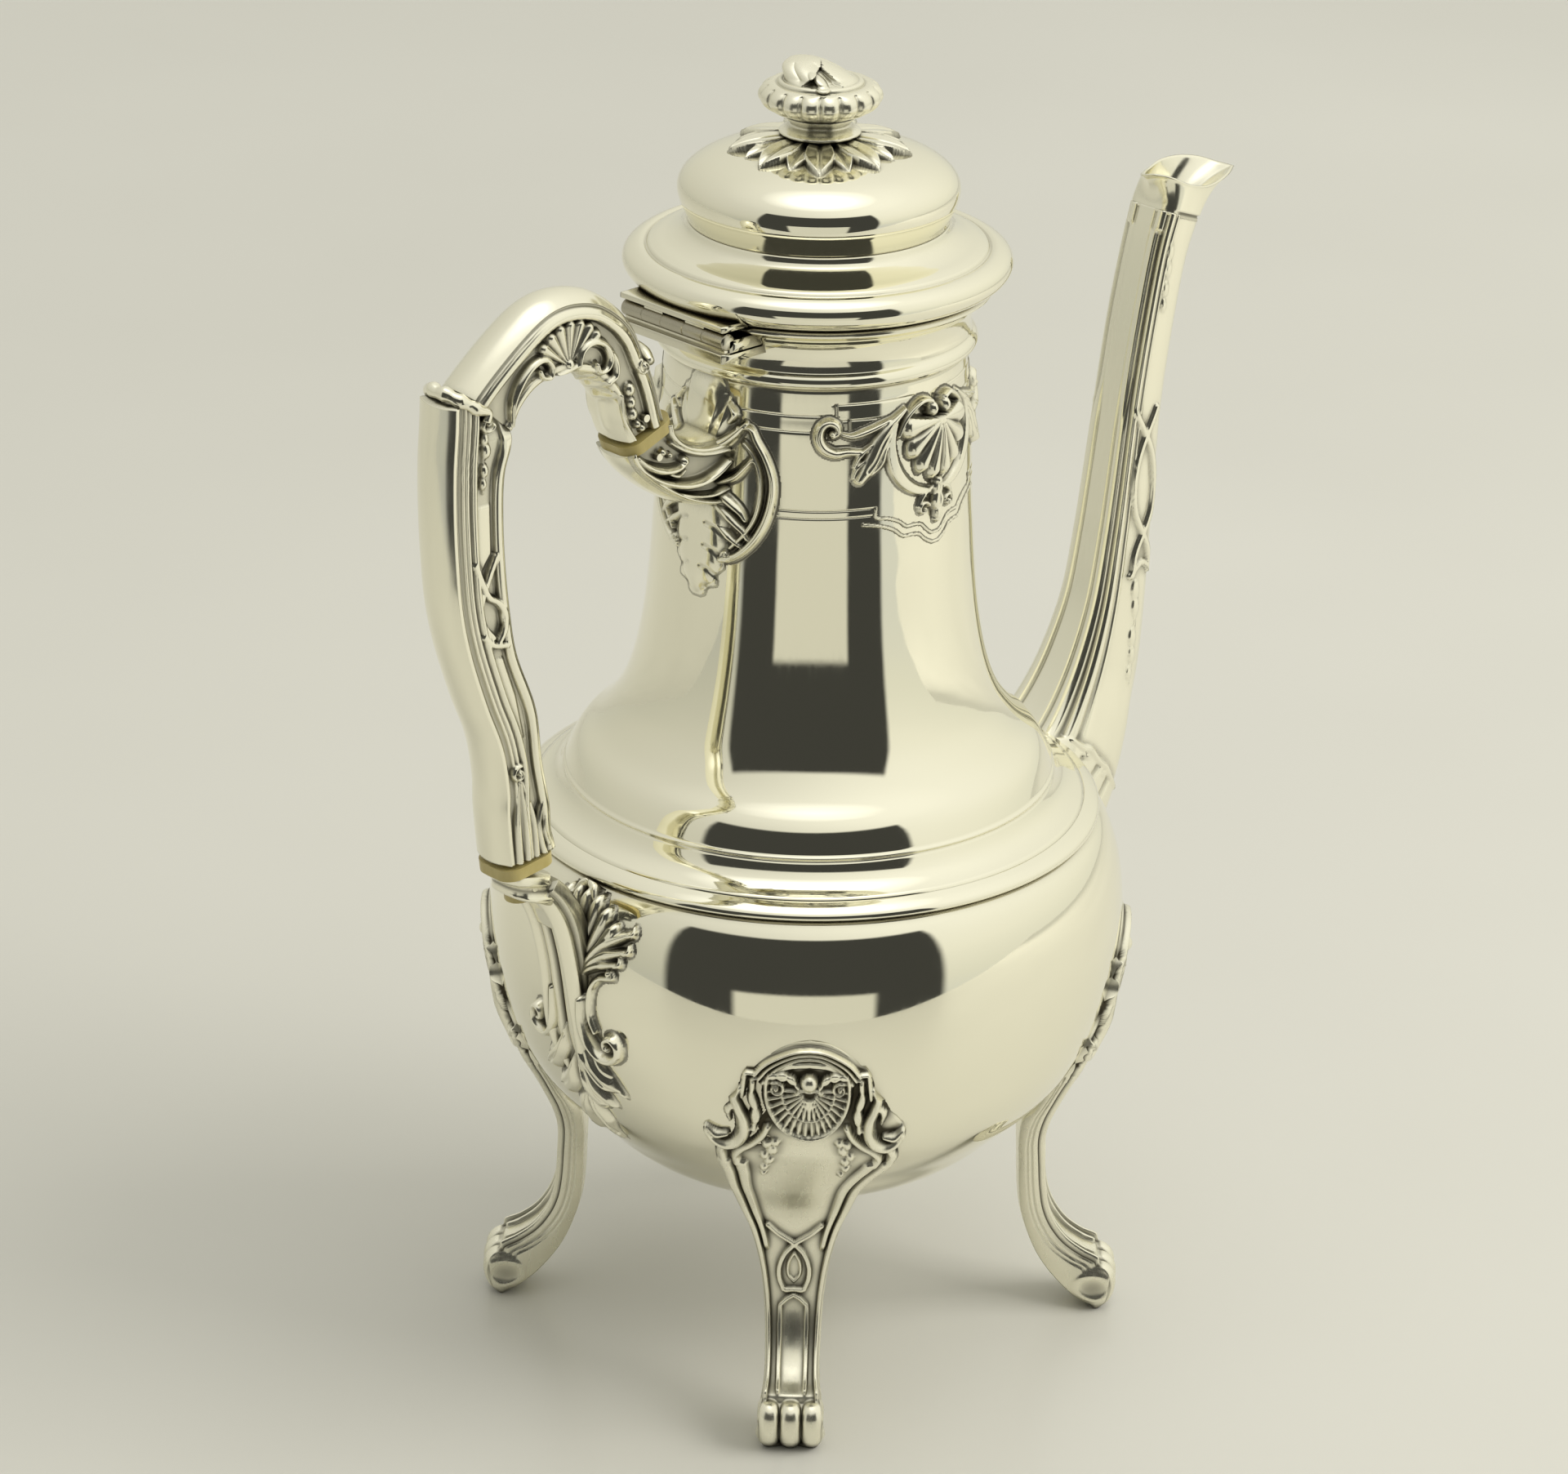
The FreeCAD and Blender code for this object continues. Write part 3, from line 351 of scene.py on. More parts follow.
# ------------------------------------------------------------------ profiles of the pot
belly = [(0, 31.5), (10, 32.1), (20, 34), (28, 37), (34, 40.1), (38.4, 42.9), (42.1, 46), (46, 50), (50.2, 54), (53.9, 58), (56.9, 62), (59.1, 66), (60.8, 70), (62, 74), (63, 78), (63.7, 82), (64.2, 86.5), (64.4, 91), (64.2, 96), (63.6, 101), (62.7, 105), (61.4, 108.6), (59.7, 111.6), (57.6, 113.8)]
bead_p = [(56.2, 113.85), (57.9, 113.85), (58.8, 114.5), (58.6, 115.3), (57.4, 116.2), (55.7, 117), (54.3, 117), (54.7, 115.2)]
neck = [(55.6, 117.05), (54.3, 117.55), (53.0, 118.15), (51.7, 118.95), (50.75, 119.85), (50.05, 120.9), (49.5, 122.0), (49.0, 123.1), (48.45, 124.4), (47.9, 125.6), (47.25, 126.9), (46.5, 128.1), (45.6, 129.15), (44.4, 130.2), (42.7, 131.7), (40.5, 134.3), (38.05, 138.1), (36.4, 142), (35.2, 146), (34.3, 150), (33.3, 156), (32.6, 162), (32.1, 168), (31.7, 174), (31.3, 180), (31, 187), (30.75, 194), (30.4, 200), (29.8, 206), (29.3, 211.5)]
BELLY = curve(belly, 1.1)
NECK = curve(neck, 0.8)


def belly_r(z):
    return np.interp(z, BELLY[:, 1], BELLY[:, 0])


def neck_r(z):
    return np.interp(z, NECK[:, 1], NECK[:, 0])


def closed(outer, wall):
    return np.concatenate([outer, offset_line(outer, wall)[::-1][::3] if False else offset_line(outer, wall)[::-1]])


pieces = []


def add(ob, body, nodes, mat):
    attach(ob, body)
    if nodes:
        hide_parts(*([nodes] if isinstance(nodes, str) else nodes))
    pieces.append((ob, mat))
    return ob


# belly bowl
inn = offset_line(curve(belly, 2.6), 1.0)
inn[:, 0] = np.maximum(inn[:, 0], 0)
inn[0] = (0, 32.5)
inn[-1] = (56.35, 113.8)
add(turned("belly_bowl_v", np.concatenate([BELLY, inn[::-1]]), 288), "pot", "belly_bowl", "silver")
# shoulder bead
bp = np.concatenate([curve(bead_p[:2], n=4), curve(bead_p[1:6], 0.25)[1:], np.array(bead_p[6:])])
add(turned("shoulder_moulding_v", bp, 288), "pot", "shoulder_moulding", "silver")
# neck, with a fine raised line at the shoulder and engraved lines round the frieze
LINES = [(206.2, 0), (203.1, 0), (187.4, 0), (185.9, 0), (208.3, 1), (205.2, 1)]
CEN = 2.4


def gap(th, c):
    return np.abs((th - c + np.pi) % (2 * np.pi) - np.pi)


zs = set(np.round(np.concatenate([curve(neck, 1.15)[:, 1], np.arange(121.7, 124.0, 0.16)]), 3))
for z, _ in LINES:
    zs |= {round(z + k * 0.13, 3) for k in range(-3, 4)}
zs = np.array(sorted(zs))
out = np.stack([neck_r(zs), zs], 1)
inn = offset_line(curve(neck, 3.0), 1.0)


def engraved(R, Z, th):
    n = len(out)
    a = np.minimum(gap(th, -np.pi / 2 + CEN / 31), gap(th, np.pi / 2 + CEN / 31)) * 31
    sock = gap(th, np.pi + 0.04) * 31
    D = np.zeros_like(R)
    for z, inside in LINES:
        g = np.exp(-((Z - z) / 0.17) ** 2)
        if inside:
            w = ((a < 22.0) & (a > 5)).astype(float) * np.ones_like(R)
        elif z > 195:
            w = (a > 22.0).astype(float) * (sock > 8.5)
        else:
            w = (a > 14.0).astype(float) * (sock > (12.5 if z > 186.5 else 12.2))
        D += 0.2 * g * w
    D -= 0.34 * np.exp(-((Z - 123.0) / 0.3) ** 2) - 0.12 * np.exp(-((Z - 122.3) / 0.22) ** 2)
    D[n:] = 0
    return R - D, Z


add(turned("neck_shell_v", np.concatenate([out, inn[::-1]]), 320, engraved), "pot", "neck_shell", "silver")
# mouth collar
collar_o = [(29.35, 211.55), (30.7, 211.9), (31.4, 212.9), (31.1, 213.9), (30.2, 214.9), (30, 216.6), (30.4, 218.6), (31.4, 220.6), (32.8, 222.2), (34.2, 223.2), (34.2, 223.8), (33.4, 224.3)]
collar_i = [(32, 224.3), (31.4, 222.9), (30.2, 221.2), (29.3, 219.2), (28.9, 216.8), (28.5, 214.5), (28.3, 211.55)]
cp = np.concatenate([curve(collar_o[:5], 0.25), curve(collar_o[4:10], 0.4)[1:], np.array(collar_o[10:]), curve(collar_i, 0.8)])
add(turned("mouth_collar_v", cp, 288), "pot", "mouth_collar", "silver")
# lid flange
fo = [(33.4, 224.6), (34.9, 224.9), (36.4, 225.8), (37.4, 227), (37.75, 228.3), (37.2, 229.7), (35.9, 230.7), (34.4, 231.2), (33.45, 231.0)]
fg = [(33.2, 230.65), (32.95, 231.05)]
fc = [(32.7, 231.5), (31.2, 232.1), (29.2, 232.7), (27.3, 233.6), (25.9, 234.7), (25.3, 236.05)]
fi = [(24.3, 236.05), (25.0, 234.2), (26.8, 232.6), (29.4, 231.4), (31.0, 230), (31.7, 228), (31.2, 225.9)]
fp = np.concatenate([curve(fo, 0.3), np.array(fg), curve(fc, 0.4), curve(fi, 1.0), np.array([(27, 225.9), (27, 224.6)])])
add(turned("lid_flange_v", fp, 288), "lid", "lid_flange", "silver")
# lid dome
dome = [(25.3, 236.1), (25.45, 236.9), (26.0, 238.2), (26.75, 239.9), (27.2, 241.6), (27.2, 243.0), (26.6, 244.5), (25.2, 246.1), (22.4, 247.9), (17.3, 249.7), (12, 250.7), (6, 251.4), (2.1, 251.6)]
DOME = curve(dome, 0.45)
dp = np.concatenate([DOME, offset_line(curve(dome, 1.2), 0.9)[::-1]])
add(turned("lid_dome_v", dp, 288), "lid", "lid_dome", "silver")


def dome_z(r):
    o = np.argsort(DOME[:, 0])
    s = DOME[DOME[:, 1] > 243.9]
    return np.interp(r, s[::-1, 0], s[::-1, 1])


# leaf rosette: eight large and eight small pointed leaves, tips lifted off the dome
th = np.linspace(0, 2 * np.pi, 560, endpoint=False)
rr = np.linspace(5.4, 18.0, 84)
TH, RR = np.meshgrid(th, rr)
H = np.full(TH.shape, -0.55)
for k in range(18):
    big = k % 2 == 0
    tip = 17.9 if big else 16.6
    wid = 3.1 if big else 2.3
    c = math.radians(225.9 + 20.0 * k)
    x = RR * np.cos(TH - c)
    y = np.abs(RR * np.sin(TH - c))
    t = np.clip((x - 5.5) / (tip - 5.5), 0, 1)
    w = wid * np.clip(np.interp(t, [0, 0.25, 0.5, 0.72, 0.88, 1.0], [0.55, 0.85, 1.0, 0.80, 0.42, 0.0]), 0.015, 1)
    q = y / w
    top = (1.3 if big else 0.85) + 0.5 * t - 1.15 * t**4
    h = top + 0.30 * np.clip(q, 0, 1) ** 2 - 0.30 * np.exp(-(y / 0.35) ** 2)
    h = h * np.clip((1 - q) / 0.12, 0, 1) ** 0.4
    h = np.where((q < 1) & (x > 4) & (x < tip), h, -np.maximum(y - w, x - tip) * 3.0)
    H = np.maximum(H, np.where(x > 0, h, -0.55))
H = np.maximum(H, -0.55)
H = np.where(RR < 6.4, np.maximum(H, 0.5), H)
Zf = dome_z(RR) + H
Zb = dome_z(RR) - 0.8
G = np.concatenate([np.stack([RR * np.cos(TH), RR * np.sin(TH), Zf], -1), np.stack([RR * np.cos(TH), RR * np.sin(TH), Zb], -1)[::-1]])
rl = Relief(TH, RR)
rl.H = H
cv = np.clip(rl.cavity(4) * 0.9, 0, 1)
add(ring("leaf_rosette_v", G, np.concatenate([cv, np.full(cv.shape, 0.5)])), "lid", "leaf_rosette", "cast")
# finial spool and bud
spool = [(2.1, 252.75), (7.4, 252.75), (7.9, 253.35), (7.1, 254.05), (5.8, 254.95), (6.6, 255.95), (7.2, 256.6), (2.1, 256.6)]
sp = np.concatenate([np.array(spool[:1]), curve(spool[1:7], 0.2), np.array(spool[7:])])
add(turned("finial_spool_v", sp, 160), "lid", "finial_spool", "cast")
bud = [(0, 256.7), (5, 256.68), (7.0, 256.9), (9.2, 257.6), (11.0, 258.7), (11.9, 260.0), (11.8, 261.2), (11.0, 262.2), (9.8, 262.8), (8.7, 262.9), (8.3, 262.75), (8.2, 263.1), (7.9, 263.5), (7.4, 263.55), (7.05, 263.4), (6.7, 264.1), (5.8, 265.2), (4.4, 266.2), (2.6, 266.9), (1.0, 267.12), (0, 267.15)]
BUD = curve(bud, 0.15)
VA = math.radians(225.9)
LEFT = np.array([-0.72, 0.69])


def gadroon(R, Z, th):
    a = (th - VA + np.pi) % (2 * np.pi) - np.pi
    f = np.abs(np.sin(9 * a)) ** 0.36
    low = smoothstep(256.75, 257.6, Z) * (1 - smoothstep(262.3, 262.85, Z)) * (R > 6)
    R = R * (1 - 0.12 * (1 - f) * low)
    up = smoothstep(263.5, 264.3, Z) * (1 - smoothstep(266.4, 267.05, Z))
    fold = np.abs(np.sin(2.5 * (a + 0.63))) ** 0.8
    R = R * (1 - up * 0.16 * (1 - fold))
    xl, front = -R * np.sin(a), np.cos(a) > 0.2
    # an open window between two sepals, with a small ball in it
    win = front * (Z > 263.5) * np.clip(1 - np.abs(-xl - 0.2 - 3.3 * smoothstep(263.2, 267.2, Z)) / np.maximum(4.2 * (1 - (Z - 263.4) / 2.8), 0.05), 0, 1)
    R = R - 1.9 * smoothstep(0.0, 0.2, win) * front + 0.45 * np.exp(-((win - 0.02) / 0.05) ** 2) * front * (Z > 263.6) * (win > 0)
    ball = 1.5**2 - (-xl - 0.5) ** 2 - (Z - 264.2) ** 2
    R = np.where(front & (ball > 0), R + np.sqrt(np.maximum(ball, 0)), R)
    return R, Z


bud_ob = turned("finial_bud_v", BUD, 252, gadroon)
co_ = np.empty(len(bud_ob.data.vertices) * 3)
bud_ob.data.vertices.foreach_get("co", co_)
co_ = co_.reshape(-1, 3)
lean = smoothstep(0.2632, 0.2672, co_[:, 2])[:, None] * 0.0030
co_[:, :2] += lean * (1.15 * LEFT + 0.7 * np.array([0.69, 0.72]))
bud_ob.data.vertices.foreach_set("co", co_.ravel())
bud_ob.data.update()
add(bud_ob, "lid", "finial_bud", "satin")

# ------------------------------------------------------------------ hinge: straight leaves above and below a long barrel
def bevel_box(name, lo, hi, b=0.22):
    me = bpy.data.meshes.new(name)
    import bmesh
    bm = bmesh.new()
    bmesh.ops.create_cube(bm, size=1.0)
    for v in bm.verts:
        v.co = Vector([(lo[k] + hi[k]) / 2 + v.co[k] * (hi[k] - lo[k]) for k in range(3)]) * MM
    bmesh.ops.bevel(bm, geom=list(bm.edges), offset=b * MM, segments=3, affect="EDGES", profile=0.6)
    bm.to_mesh(me)
    bm.free()
    me.attributes.new("cav", "FLOAT", "POINT")
    ob = bpy.data.objects.new(name, me)
    bpy.context.scene.collection.objects.link(ob)
    return ob


yb = np.linspace(-14.2, 14.2, 285)
rb = np.full(yb.shape, 1.66)
for c in (-8.4, -3.05, 3.05, 8.4):
    rb -= 0.1 * np.exp(-((yb - c) / 0.12) ** 2)
rb -= 0.25 * smoothstep(13.95, 14.2, np.abs(yb))
v = np.linspace(0, 2 * np.pi, 40, endpoint=False)
G = np.stack([-36.6 + rb[:, None] * np.cos(v), np.repeat(yb[:, None], 40, 1), 222.6 + rb[:, None] * np.sin(v)], -1)
# the barrel's colour is darkened all over (0.68): painted darker reflection
add(loft("hinge_barrel_v", G, np.full(G.shape[:2], 0.68)), "pot", ["hinge_pin", "body_hinge_leaf"], "silver")


def hinge_leaf(name, xo, rin, z0, z1):
    # straight outer edge, inner edge let into the round rim
    y = np.linspace(-14.2, 14.2, 72)
    xi = -np.sqrt(rin**2 - y**2)
    b = 0.22
    one = np.ones_like(y)
    sec = [(xo + b, z0), (xo + 0.3 * b, z0 + 0.3 * b), (xo, z0 + b), (xo, z1 - b), (xo + 0.3 * b, z1 - 0.3 * b), (xo + b, z1)]
    G = np.stack([np.stack([x * one, y, z * one], -1) for x, z in sec] + [np.stack([xi, y, z * one], -1) for z in (z1, z0)], 1)
    cv = np.zeros(G.shape[:2])
    # the outer face of the leaf is darkened (0.4): painted darker reflection
    cv[:, 1:5] = 0.4
    return loft(name, G, cv)


add(hinge_leaf("body_hinge_leaf_v", -38.2, 29.9, 218.5, 220.4), "pot", "body_hinge_leaf", "silver")
add(bevel_box("body_hinge_web_v", (-37.3, -13.9, 219.8), (-36.0, 13.9, 221.5), 0.1), "pot", "body_hinge_leaf", "silver")
add(hinge_leaf("body_hinge_fill_v", -36.2, 31.2, 220.0, 222.7), "pot", "body_hinge_leaf", "silver")
add(hinge_leaf("lid_hinge_leaf_v", -38.3, 33.0, 224.66, 225.8), "lid", "lid_hinge_leaf", "silver")
for tag, y0, y1 in (("a", -8.3, -3.15), ("b", 3.15, 8.3)):
    add(bevel_box("lid_hinge_web_" + tag, (-37.5, y0, 223.5), (-35.7, y1, 225.0), 0.1), "lid", "lid_hinge_leaf", "silver")


# ------------------------------------------------------------------ handle
B = 5.2


def meet(c, nrm, line):
    # where the line through c along nrm meets a polyline, nearest on the positive side
    tng = np.array([nrm[1], -nrm[0]])
    r = line - c
    a, b = r @ tng, r @ nrm
    k = np.nonzero(a[:-1] * a[1:] <= 0)[0]
    best = None
    for i in k:
        f = a[i] / (a[i] - a[i + 1] + 1e-12)
        v = b[i] + f * (b[i + 1] - b[i])
        if v > 0 and (best is None or v < best):
            best = v
    return best


def sweep_handle(name, cl, gl, il, nst, side_profile, decorate, crown, ends, half=(5.2, 5.2), inner=0.7, face=None, shade=None):
    C = curve(cl, n=nst)
    Gl, Il = curve(gl, 0.4), curve(il, 0.4)
    tg = np.gradient(C, axis=0)
    for _ in range(30):
        tg[1:-1] = (tg[:-2] + 2 * tg[1:-1] + tg[2:]) / 4
    tg /= np.linalg.norm(tg, axis=1, keepdims=True)
    nr = np.stack([tg[:, 1], -tg[:, 0]], 1)
    g = [meet(C[i], ends * nr[i], Gl) for i in range(nst)]
    q = [meet(C[i], -ends * nr[i], Il) for i in range(nst)]
    idx = np.arange(nst)

    def fill(v):
        ok = np.array([x is not None for x in v])
        w = np.interp(idx, idx[ok], np.array([x for x in v if x is not None]))
        for _ in range(12):
            w[1:-1] = (w[:-2] + w[1:-1] + w[2:]) / 3
        return w
    g, q = fill(g), fill(q)
    nr = nr * ends
    D = g + q
    nS, nC, nI = 84, 13, 15
    a = np.linspace(0, 1, nS)
    dG = a[None] * D[:, None]
    dI = D[:, None] - dG
    S = C[:, None, 0] + (g[:, None] - dG) * nr[:, None, 0]
    Z = C[:, None, 1] + (g[:, None] - dG) * nr[:, None, 1]
    along = np.repeat(np.linspace(0, 1, nst)[:, None], nS, 1)
    base = side_profile(dG, dI, along)
    R = Relief(S, Z, -2.0)
    R.H = base.copy()
    decorate(R)
    cavs = R.cavity(4)
    if shade is not None:
        cavs = np.maximum(cavs, shade[1] * smoothstep(shade[0] + 0.25, shade[0], R.H))
    Ys = np.interp(along, np.linspace(0, 1, len(half)), half) + R.H
    edge = Ys[:, :1]
    u = np.linspace(0, 1, nC + 1)[:-1]
    cy = edge * np.sin(u * np.pi / 2)[None]
    co = g[:, None] + crown * (1 - (cy / edge) ** 2.0)
    u = np.linspace(0, 1, nI + 1)[1:]
    iy = Ys[:, -1:] * np.cos(u * np.pi / 2)[None]
    io = -q[:, None] - inner * (1 - (iy / Ys[:, -1:]) ** 2)
    if face is not None:
        io = io - face(along[:, :1], iy)
    off = np.concatenate([co, g[:, None] - dG, io], 1)
    yy = np.concatenate([cy, Ys, iy], 1)
    cc = np.concatenate([np.zeros_like(cy), cavs, np.zeros_like(iy)], 1)
    px = C[:, None, 0] + off * nr[:, None, 0]
    pz = C[:, None, 1] + off * nr[:, None, 1]
    h1 = np.stack([-px, -yy, pz], -1)
    h2 = np.stack([-px, yy, pz], -1)[:, ::-1][:, 1:-1]
    G = np.concatenate([h1, h2], 1)
    return loft(name, G, np.concatenate([cc, cc[:, ::-1][:, 1:-1]], 1))


def bump(x, c, w, h):
    return h * np.clip(1 - ((x - c) / w) ** 2, 0, 1)


def arch_profile(dG, dI, t):
    fade = 1.0
    y = -1.15 * smoothstep(2.9, 3.4, dG) * fade - 0.2 * (1 - fade) * smoothstep(1.5, 3.0, dG)
    y = y - bump(dG, 0.35, 0.5, 0.75)
    y = y + bump(dG, 2.1, 1.1, 0.6) * fade
    y = y + smoothstep(1.5, 1.1, dI) * 0
    y = np.where(dI < 1.7, np.maximum(y, -0.15 - 0.45 * (np.clip(dI, 0, 1.7) / 0.85 - 1) ** 2), y)
    return y


def arch_decor(R):
    R.fan((67.6, 222.6), 28, 152, 9.2, 7, 1.75, r0=0.6, base=-1.1, dish=0.45)
    R.bead((67.6, 223.0), 1.1, 1.2, -0.8)
    R.stroke([(81.6, 214.5), (81.3, 218.9), (79, 222.9), (76.4, 225), (73.9, 225.4), (72.2, 223.7), (72.6, 221.7), (74.3, 222.1), (75, 223.3)], [0.65, 1.15, 1.1, 0.7], [1.4, 1.8, 1.8, 1.6], base=-1.05)
    R.stroke([(65.7, 222.5), (64.8, 225.1), (62.2, 226.2), (59.2, 224.8), (57.9, 222.1), (58.8, 220.2), (60.5, 220), (61.2, 221.6)], [1.0, 1.25, 1.15, 0.7], [1.8, 2.0, 1.9, 1.6], base=-1.05)
    R.stroke([(59.2, 224.8), (56.8, 221.6), (56.6, 218.4), (58.6, 217.1), (59, 215.8), (56.3, 214.1)], [1.1, 1.15, 0.8], [1.8, 1.8, 1.4], base=-1.05)
    R.stroke([(70.5, 221.5), (68, 222.0), (65.7, 222.5)], [0.8, 0.9], [1.4, 1.4], base=-1.0)
    R.stroke([(60.1, 229.5), (56.6, 227), (53.5, 223.2), (51.3, 219.2)], [0.35, 0.6, 0.5], [1.0, 1.2, 1.1], base=-1.05)
    R.volute((49.8, 218.7), 1.7, 1.1, 60, -1, 0.65, 1.6, -0.7)
    for c, r in (((52.7, 214.6), 1.3), ((52.4, 212.0), 1.15), ((52.0, 209.6), 1.2), ((51.0, 207.4), 0.8)):
        R.bead(c, r, 1.5, -1.1, 1.15)
    R.stroke([(55.0, 213.9), (54.2, 208.8), (51.6, 204.4)], 0.6, 1.1, base=-0.9)
    R.bead((49.7, 206.3), 0.8, 1.1, -0.9)


def arch_face(t, y):
    # leaf with a few broad lobes on the side of the arch that faces the gap
    env = smoothstep(0.15, 0.20, t) * (1 - smoothstep(0.36, 0.41, t))
    q = np.clip(1 - (np.abs(y) / 4.6) ** 2, 0, 1)
    lobe = np.abs(np.sin(np.pi * (13 * t + 0.07 * np.abs(y))))
    return env * q * (0.25 + 0.75 * lobe) + 0.4 * np.exp(-(y / 0.9) ** 2) * smoothstep(0.02, 0.06, t) * (1 - smoothstep(0.36, 0.41, t))


def grip_profile(dG, dI, t):
    y = -0.05 * np.ones_like(dG)
    y -= 0.8 * np.clip(1 - ((dG - 1.55) / 0.75) ** 2, 0, 1)
    y -= bump(dG, 3.0, 0.3, 0.32) + bump(dG, 4.1, 0.3, 0.32)
    y += bump(dG, 4.95, 0.75, 0.5)
    pan = smoothstep(5.6, 5.9, dG) * smoothstep(2.0, 2.3, dI)
    y = np.where(pan > 0, y * (1 - pan) + pan * -0.95, y)
    y += bump(dI, 1.1, 1.0, 0.4) * smoothstep(0.07, 0.12, t)
    y -= 1.4 * (1 - smoothstep(0.055, 0.085, t)) * smoothstep(5.6, 7.0, dG)
    return y


def grip_decor(R):
    for c, r in (((88.3, 213.4), 1.0), ((87.9, 211.0), 1.15), ((88.4, 207.2), 1.0), ((88.8, 204.8), 0.9)):
        R.bead(c, r, 1.2, -0.85, 1.5)
    R.stroke([(88.5, 215), (88.6, 203)], 0.4, 0.6, base=-0.9)
    R.volute((88.0, 216.4), 1.6, 1.2, 200, 1, 0.6, 1.3, -0.4)
    R.plate([(90.6, 200.5), (90.7, 190.4), (88.7, 187.8), (86.5, 190.4), (86.7, 200.5)], 0.5, 0.6, -0.95)
    R.stroke([(85.9, 190.0), (88.1, 185.4), (89.7, 180.8), (89.0, 176.9), (86.9, 173.9)], 0.75, 1.15, "flat", -0.85)
    R.stroke([(91.0, 189.4), (89.7, 186), (87.8, 182.3), (85.6, 180.7), (84.1, 178.2), (84.3, 174.6), (85.4, 172.9)], 0.75, 1.3, "flat", -0.85)
    R.stroke([(89.0, 174.6), (86.8, 172.5), (83.6, 171.7)], 0.75, 1.3, "flat", -0.85)
    R.plate([(87.3, 169.8), (83.9, 169.2), (80.9, 160.6), (78.9, 151.5), (81.4, 151.0), (85.0, 160.4)], 0.5, 0.6, -0.95)
    R.volute((80.9, 144.6), 1.7, 1.2, 100, -1, 0.65, 1.4, -0.7)
    for a, b, c in (((80.0, 142.6), (77.6, 135), (76.6, 126)), ((80.4, 142.6), (79.3, 134), (78.7, 126)), ((80.9, 142.4), (81.2, 134), (80.7, 126))):
        R.stroke([a, b, c], [0.5, 1.0, 1.2], [0.9, 1.4, 1.5], base=-0.8)
    R.stroke([(75.0, 137.4), (76.2, 133.4), (75.6, 129.0), (74.6, 126)], [0.5, 1.0, 1.1], [1.0, 1.5, 1.5], base=-0.7)
    R.stroke([(74.6, 134.6), (74.9, 131.4), (73.9, 128.2)], [0.4, 0.8, 0.7], [1.0, 1.4, 1.3], base=-0.7)


A_cl = [(47.8, 205.5), (50.2, 212.8), (52.6, 219), (55.7, 223.6), (58.6, 225.8), (62.2, 227.8), (66.7, 228.8), (70.4, 229), (73.2, 228.4), (77.5, 226.3), (82.6, 222.2), (86.6, 217.8)]
A_g = [(44.0, 205.6), (44.5, 206.8), (46.8, 214.7), (49.5, 220.9), (52.2, 226.2), (55.7, 229.9), (60.5, 233), (66.1, 234.4), (70.4, 234.3), (74.4, 233.0), (79.4, 230), (85.6, 225.4), (90.6, 221.0), (94, 217)]
A_i = [(51.6, 202.6), (52.6, 203.7), (54.8, 209.2), (55.9, 213.6), (60.5, 219), (64.5, 220.7), (68.3, 221.6), (72.6, 221.4), (76.5, 219.9), (79.9, 216.6), (81.0, 214.0)]
add(sweep_handle("handle_arch_v", A_cl, A_g, A_i, 300, arch_profile, arch_decor, 1.9, -1, face=arch_face, shade=(-0.95, 0.5)), "pot", "handle_grip", "cast")
B_cl = [(89.6, 220.6), (89.6, 214.2), (90.0, 208), (90.2, 198.6), (89.9, 189), (89.2, 180.7), (87.5, 172.5), (83.3, 160.8), (80.6, 152), (79.4, 142.7), (78.7, 137), (77.8, 126.3)]
B_g = [(95.0, 223), (95.3, 216.4), (95.9, 208.7), (96, 199.2), (95.6, 189.5), (94.9, 181.3), (93.2, 172.7), (89.1, 160), (85.5, 150.7), (83.9, 141.8), (83.8, 135.9), (82.8, 125.6), (82.6, 124)]
B_i = [(82.6, 222), (82.0, 211.6), (83.8, 205.7), (84.2, 196.2), (83.7, 186.4), (82.8, 178), (81.3, 169.4), (76.6, 156.8), (75.2, 146), (73.3, 135.6), (73.1, 131), (72.2, 128), (71.6, 124.5)]
add(sweep_handle("handle_grip_v", B_cl, B_g, B_i, 320, grip_profile, grip_decor, 1.5, -1, shade=(-0.82, 0.32)), "pot", "handle_grip", "cast")


def rolled(name, path, rad):
    # a tapered roll along a line in space
    P = curve(path, n=90)
    d = np.gradient(P, axis=0)
    d /= np.linalg.norm(d, axis=1, keepdims=True)
    a = np.empty_like(d)
    v = np.cross(d[0], np.array([0.3, 0.2, 1.0]))
    for i in range(len(d)):
        v = v - d[i] * (v @ d[i])
        v = v / np.linalg.norm(v)
        a[i] = v
    b = np.cross(a, d)
    t = np.linspace(0, 1, len(P))
    r = np.interp(t, np.linspace(0, 1, len(rad)), rad)[:, None, None]
    v = np.linspace(0, 2 * np.pi, 24, endpoint=False)[None, :, None]
    G = P[:, None] + r * (np.cos(v) * a[:, None] + np.sin(v) * b[:, None])
    return loft(name, G, np.zeros(G.shape[:2]))


side = [(-88.6, 5.8, 217.0), (-88.0, 5.7, 218.6), (-90.0, 5.5, 219.6), (-92.0, 4.9, 220.9), (-93.8, 3.7, 222.0), (-94.6, 2.0, 222.7)]
THUMB = side + [(-94.9, 0, 222.6)] + [(x, -y, z) for x, y, z in side[::-1]]
add(rolled("handle_thumb_leaf_v", THUMB, [0.9, 0.8, 1.0, 1.3, 1.0, 1.45, 1.1, 1.5, 1.1, 1.5, 1.1, 1.45, 1.0, 1.3, 1.0, 0.8, 0.9]), "pot", "handle_grip", "cast")
add(rolled("handle_arch_curl_v", [(-48.3, -5.6, 219.3), (-47.6, -3.0, 219.9), (-47.3, 0, 220.1), (-47.6, 3.0, 219.9), (-48.3, 5.6, 219.3)], [0.8, 1.5, 1.8, 1.5, 0.8]), "pot", "handle_grip", "cast")


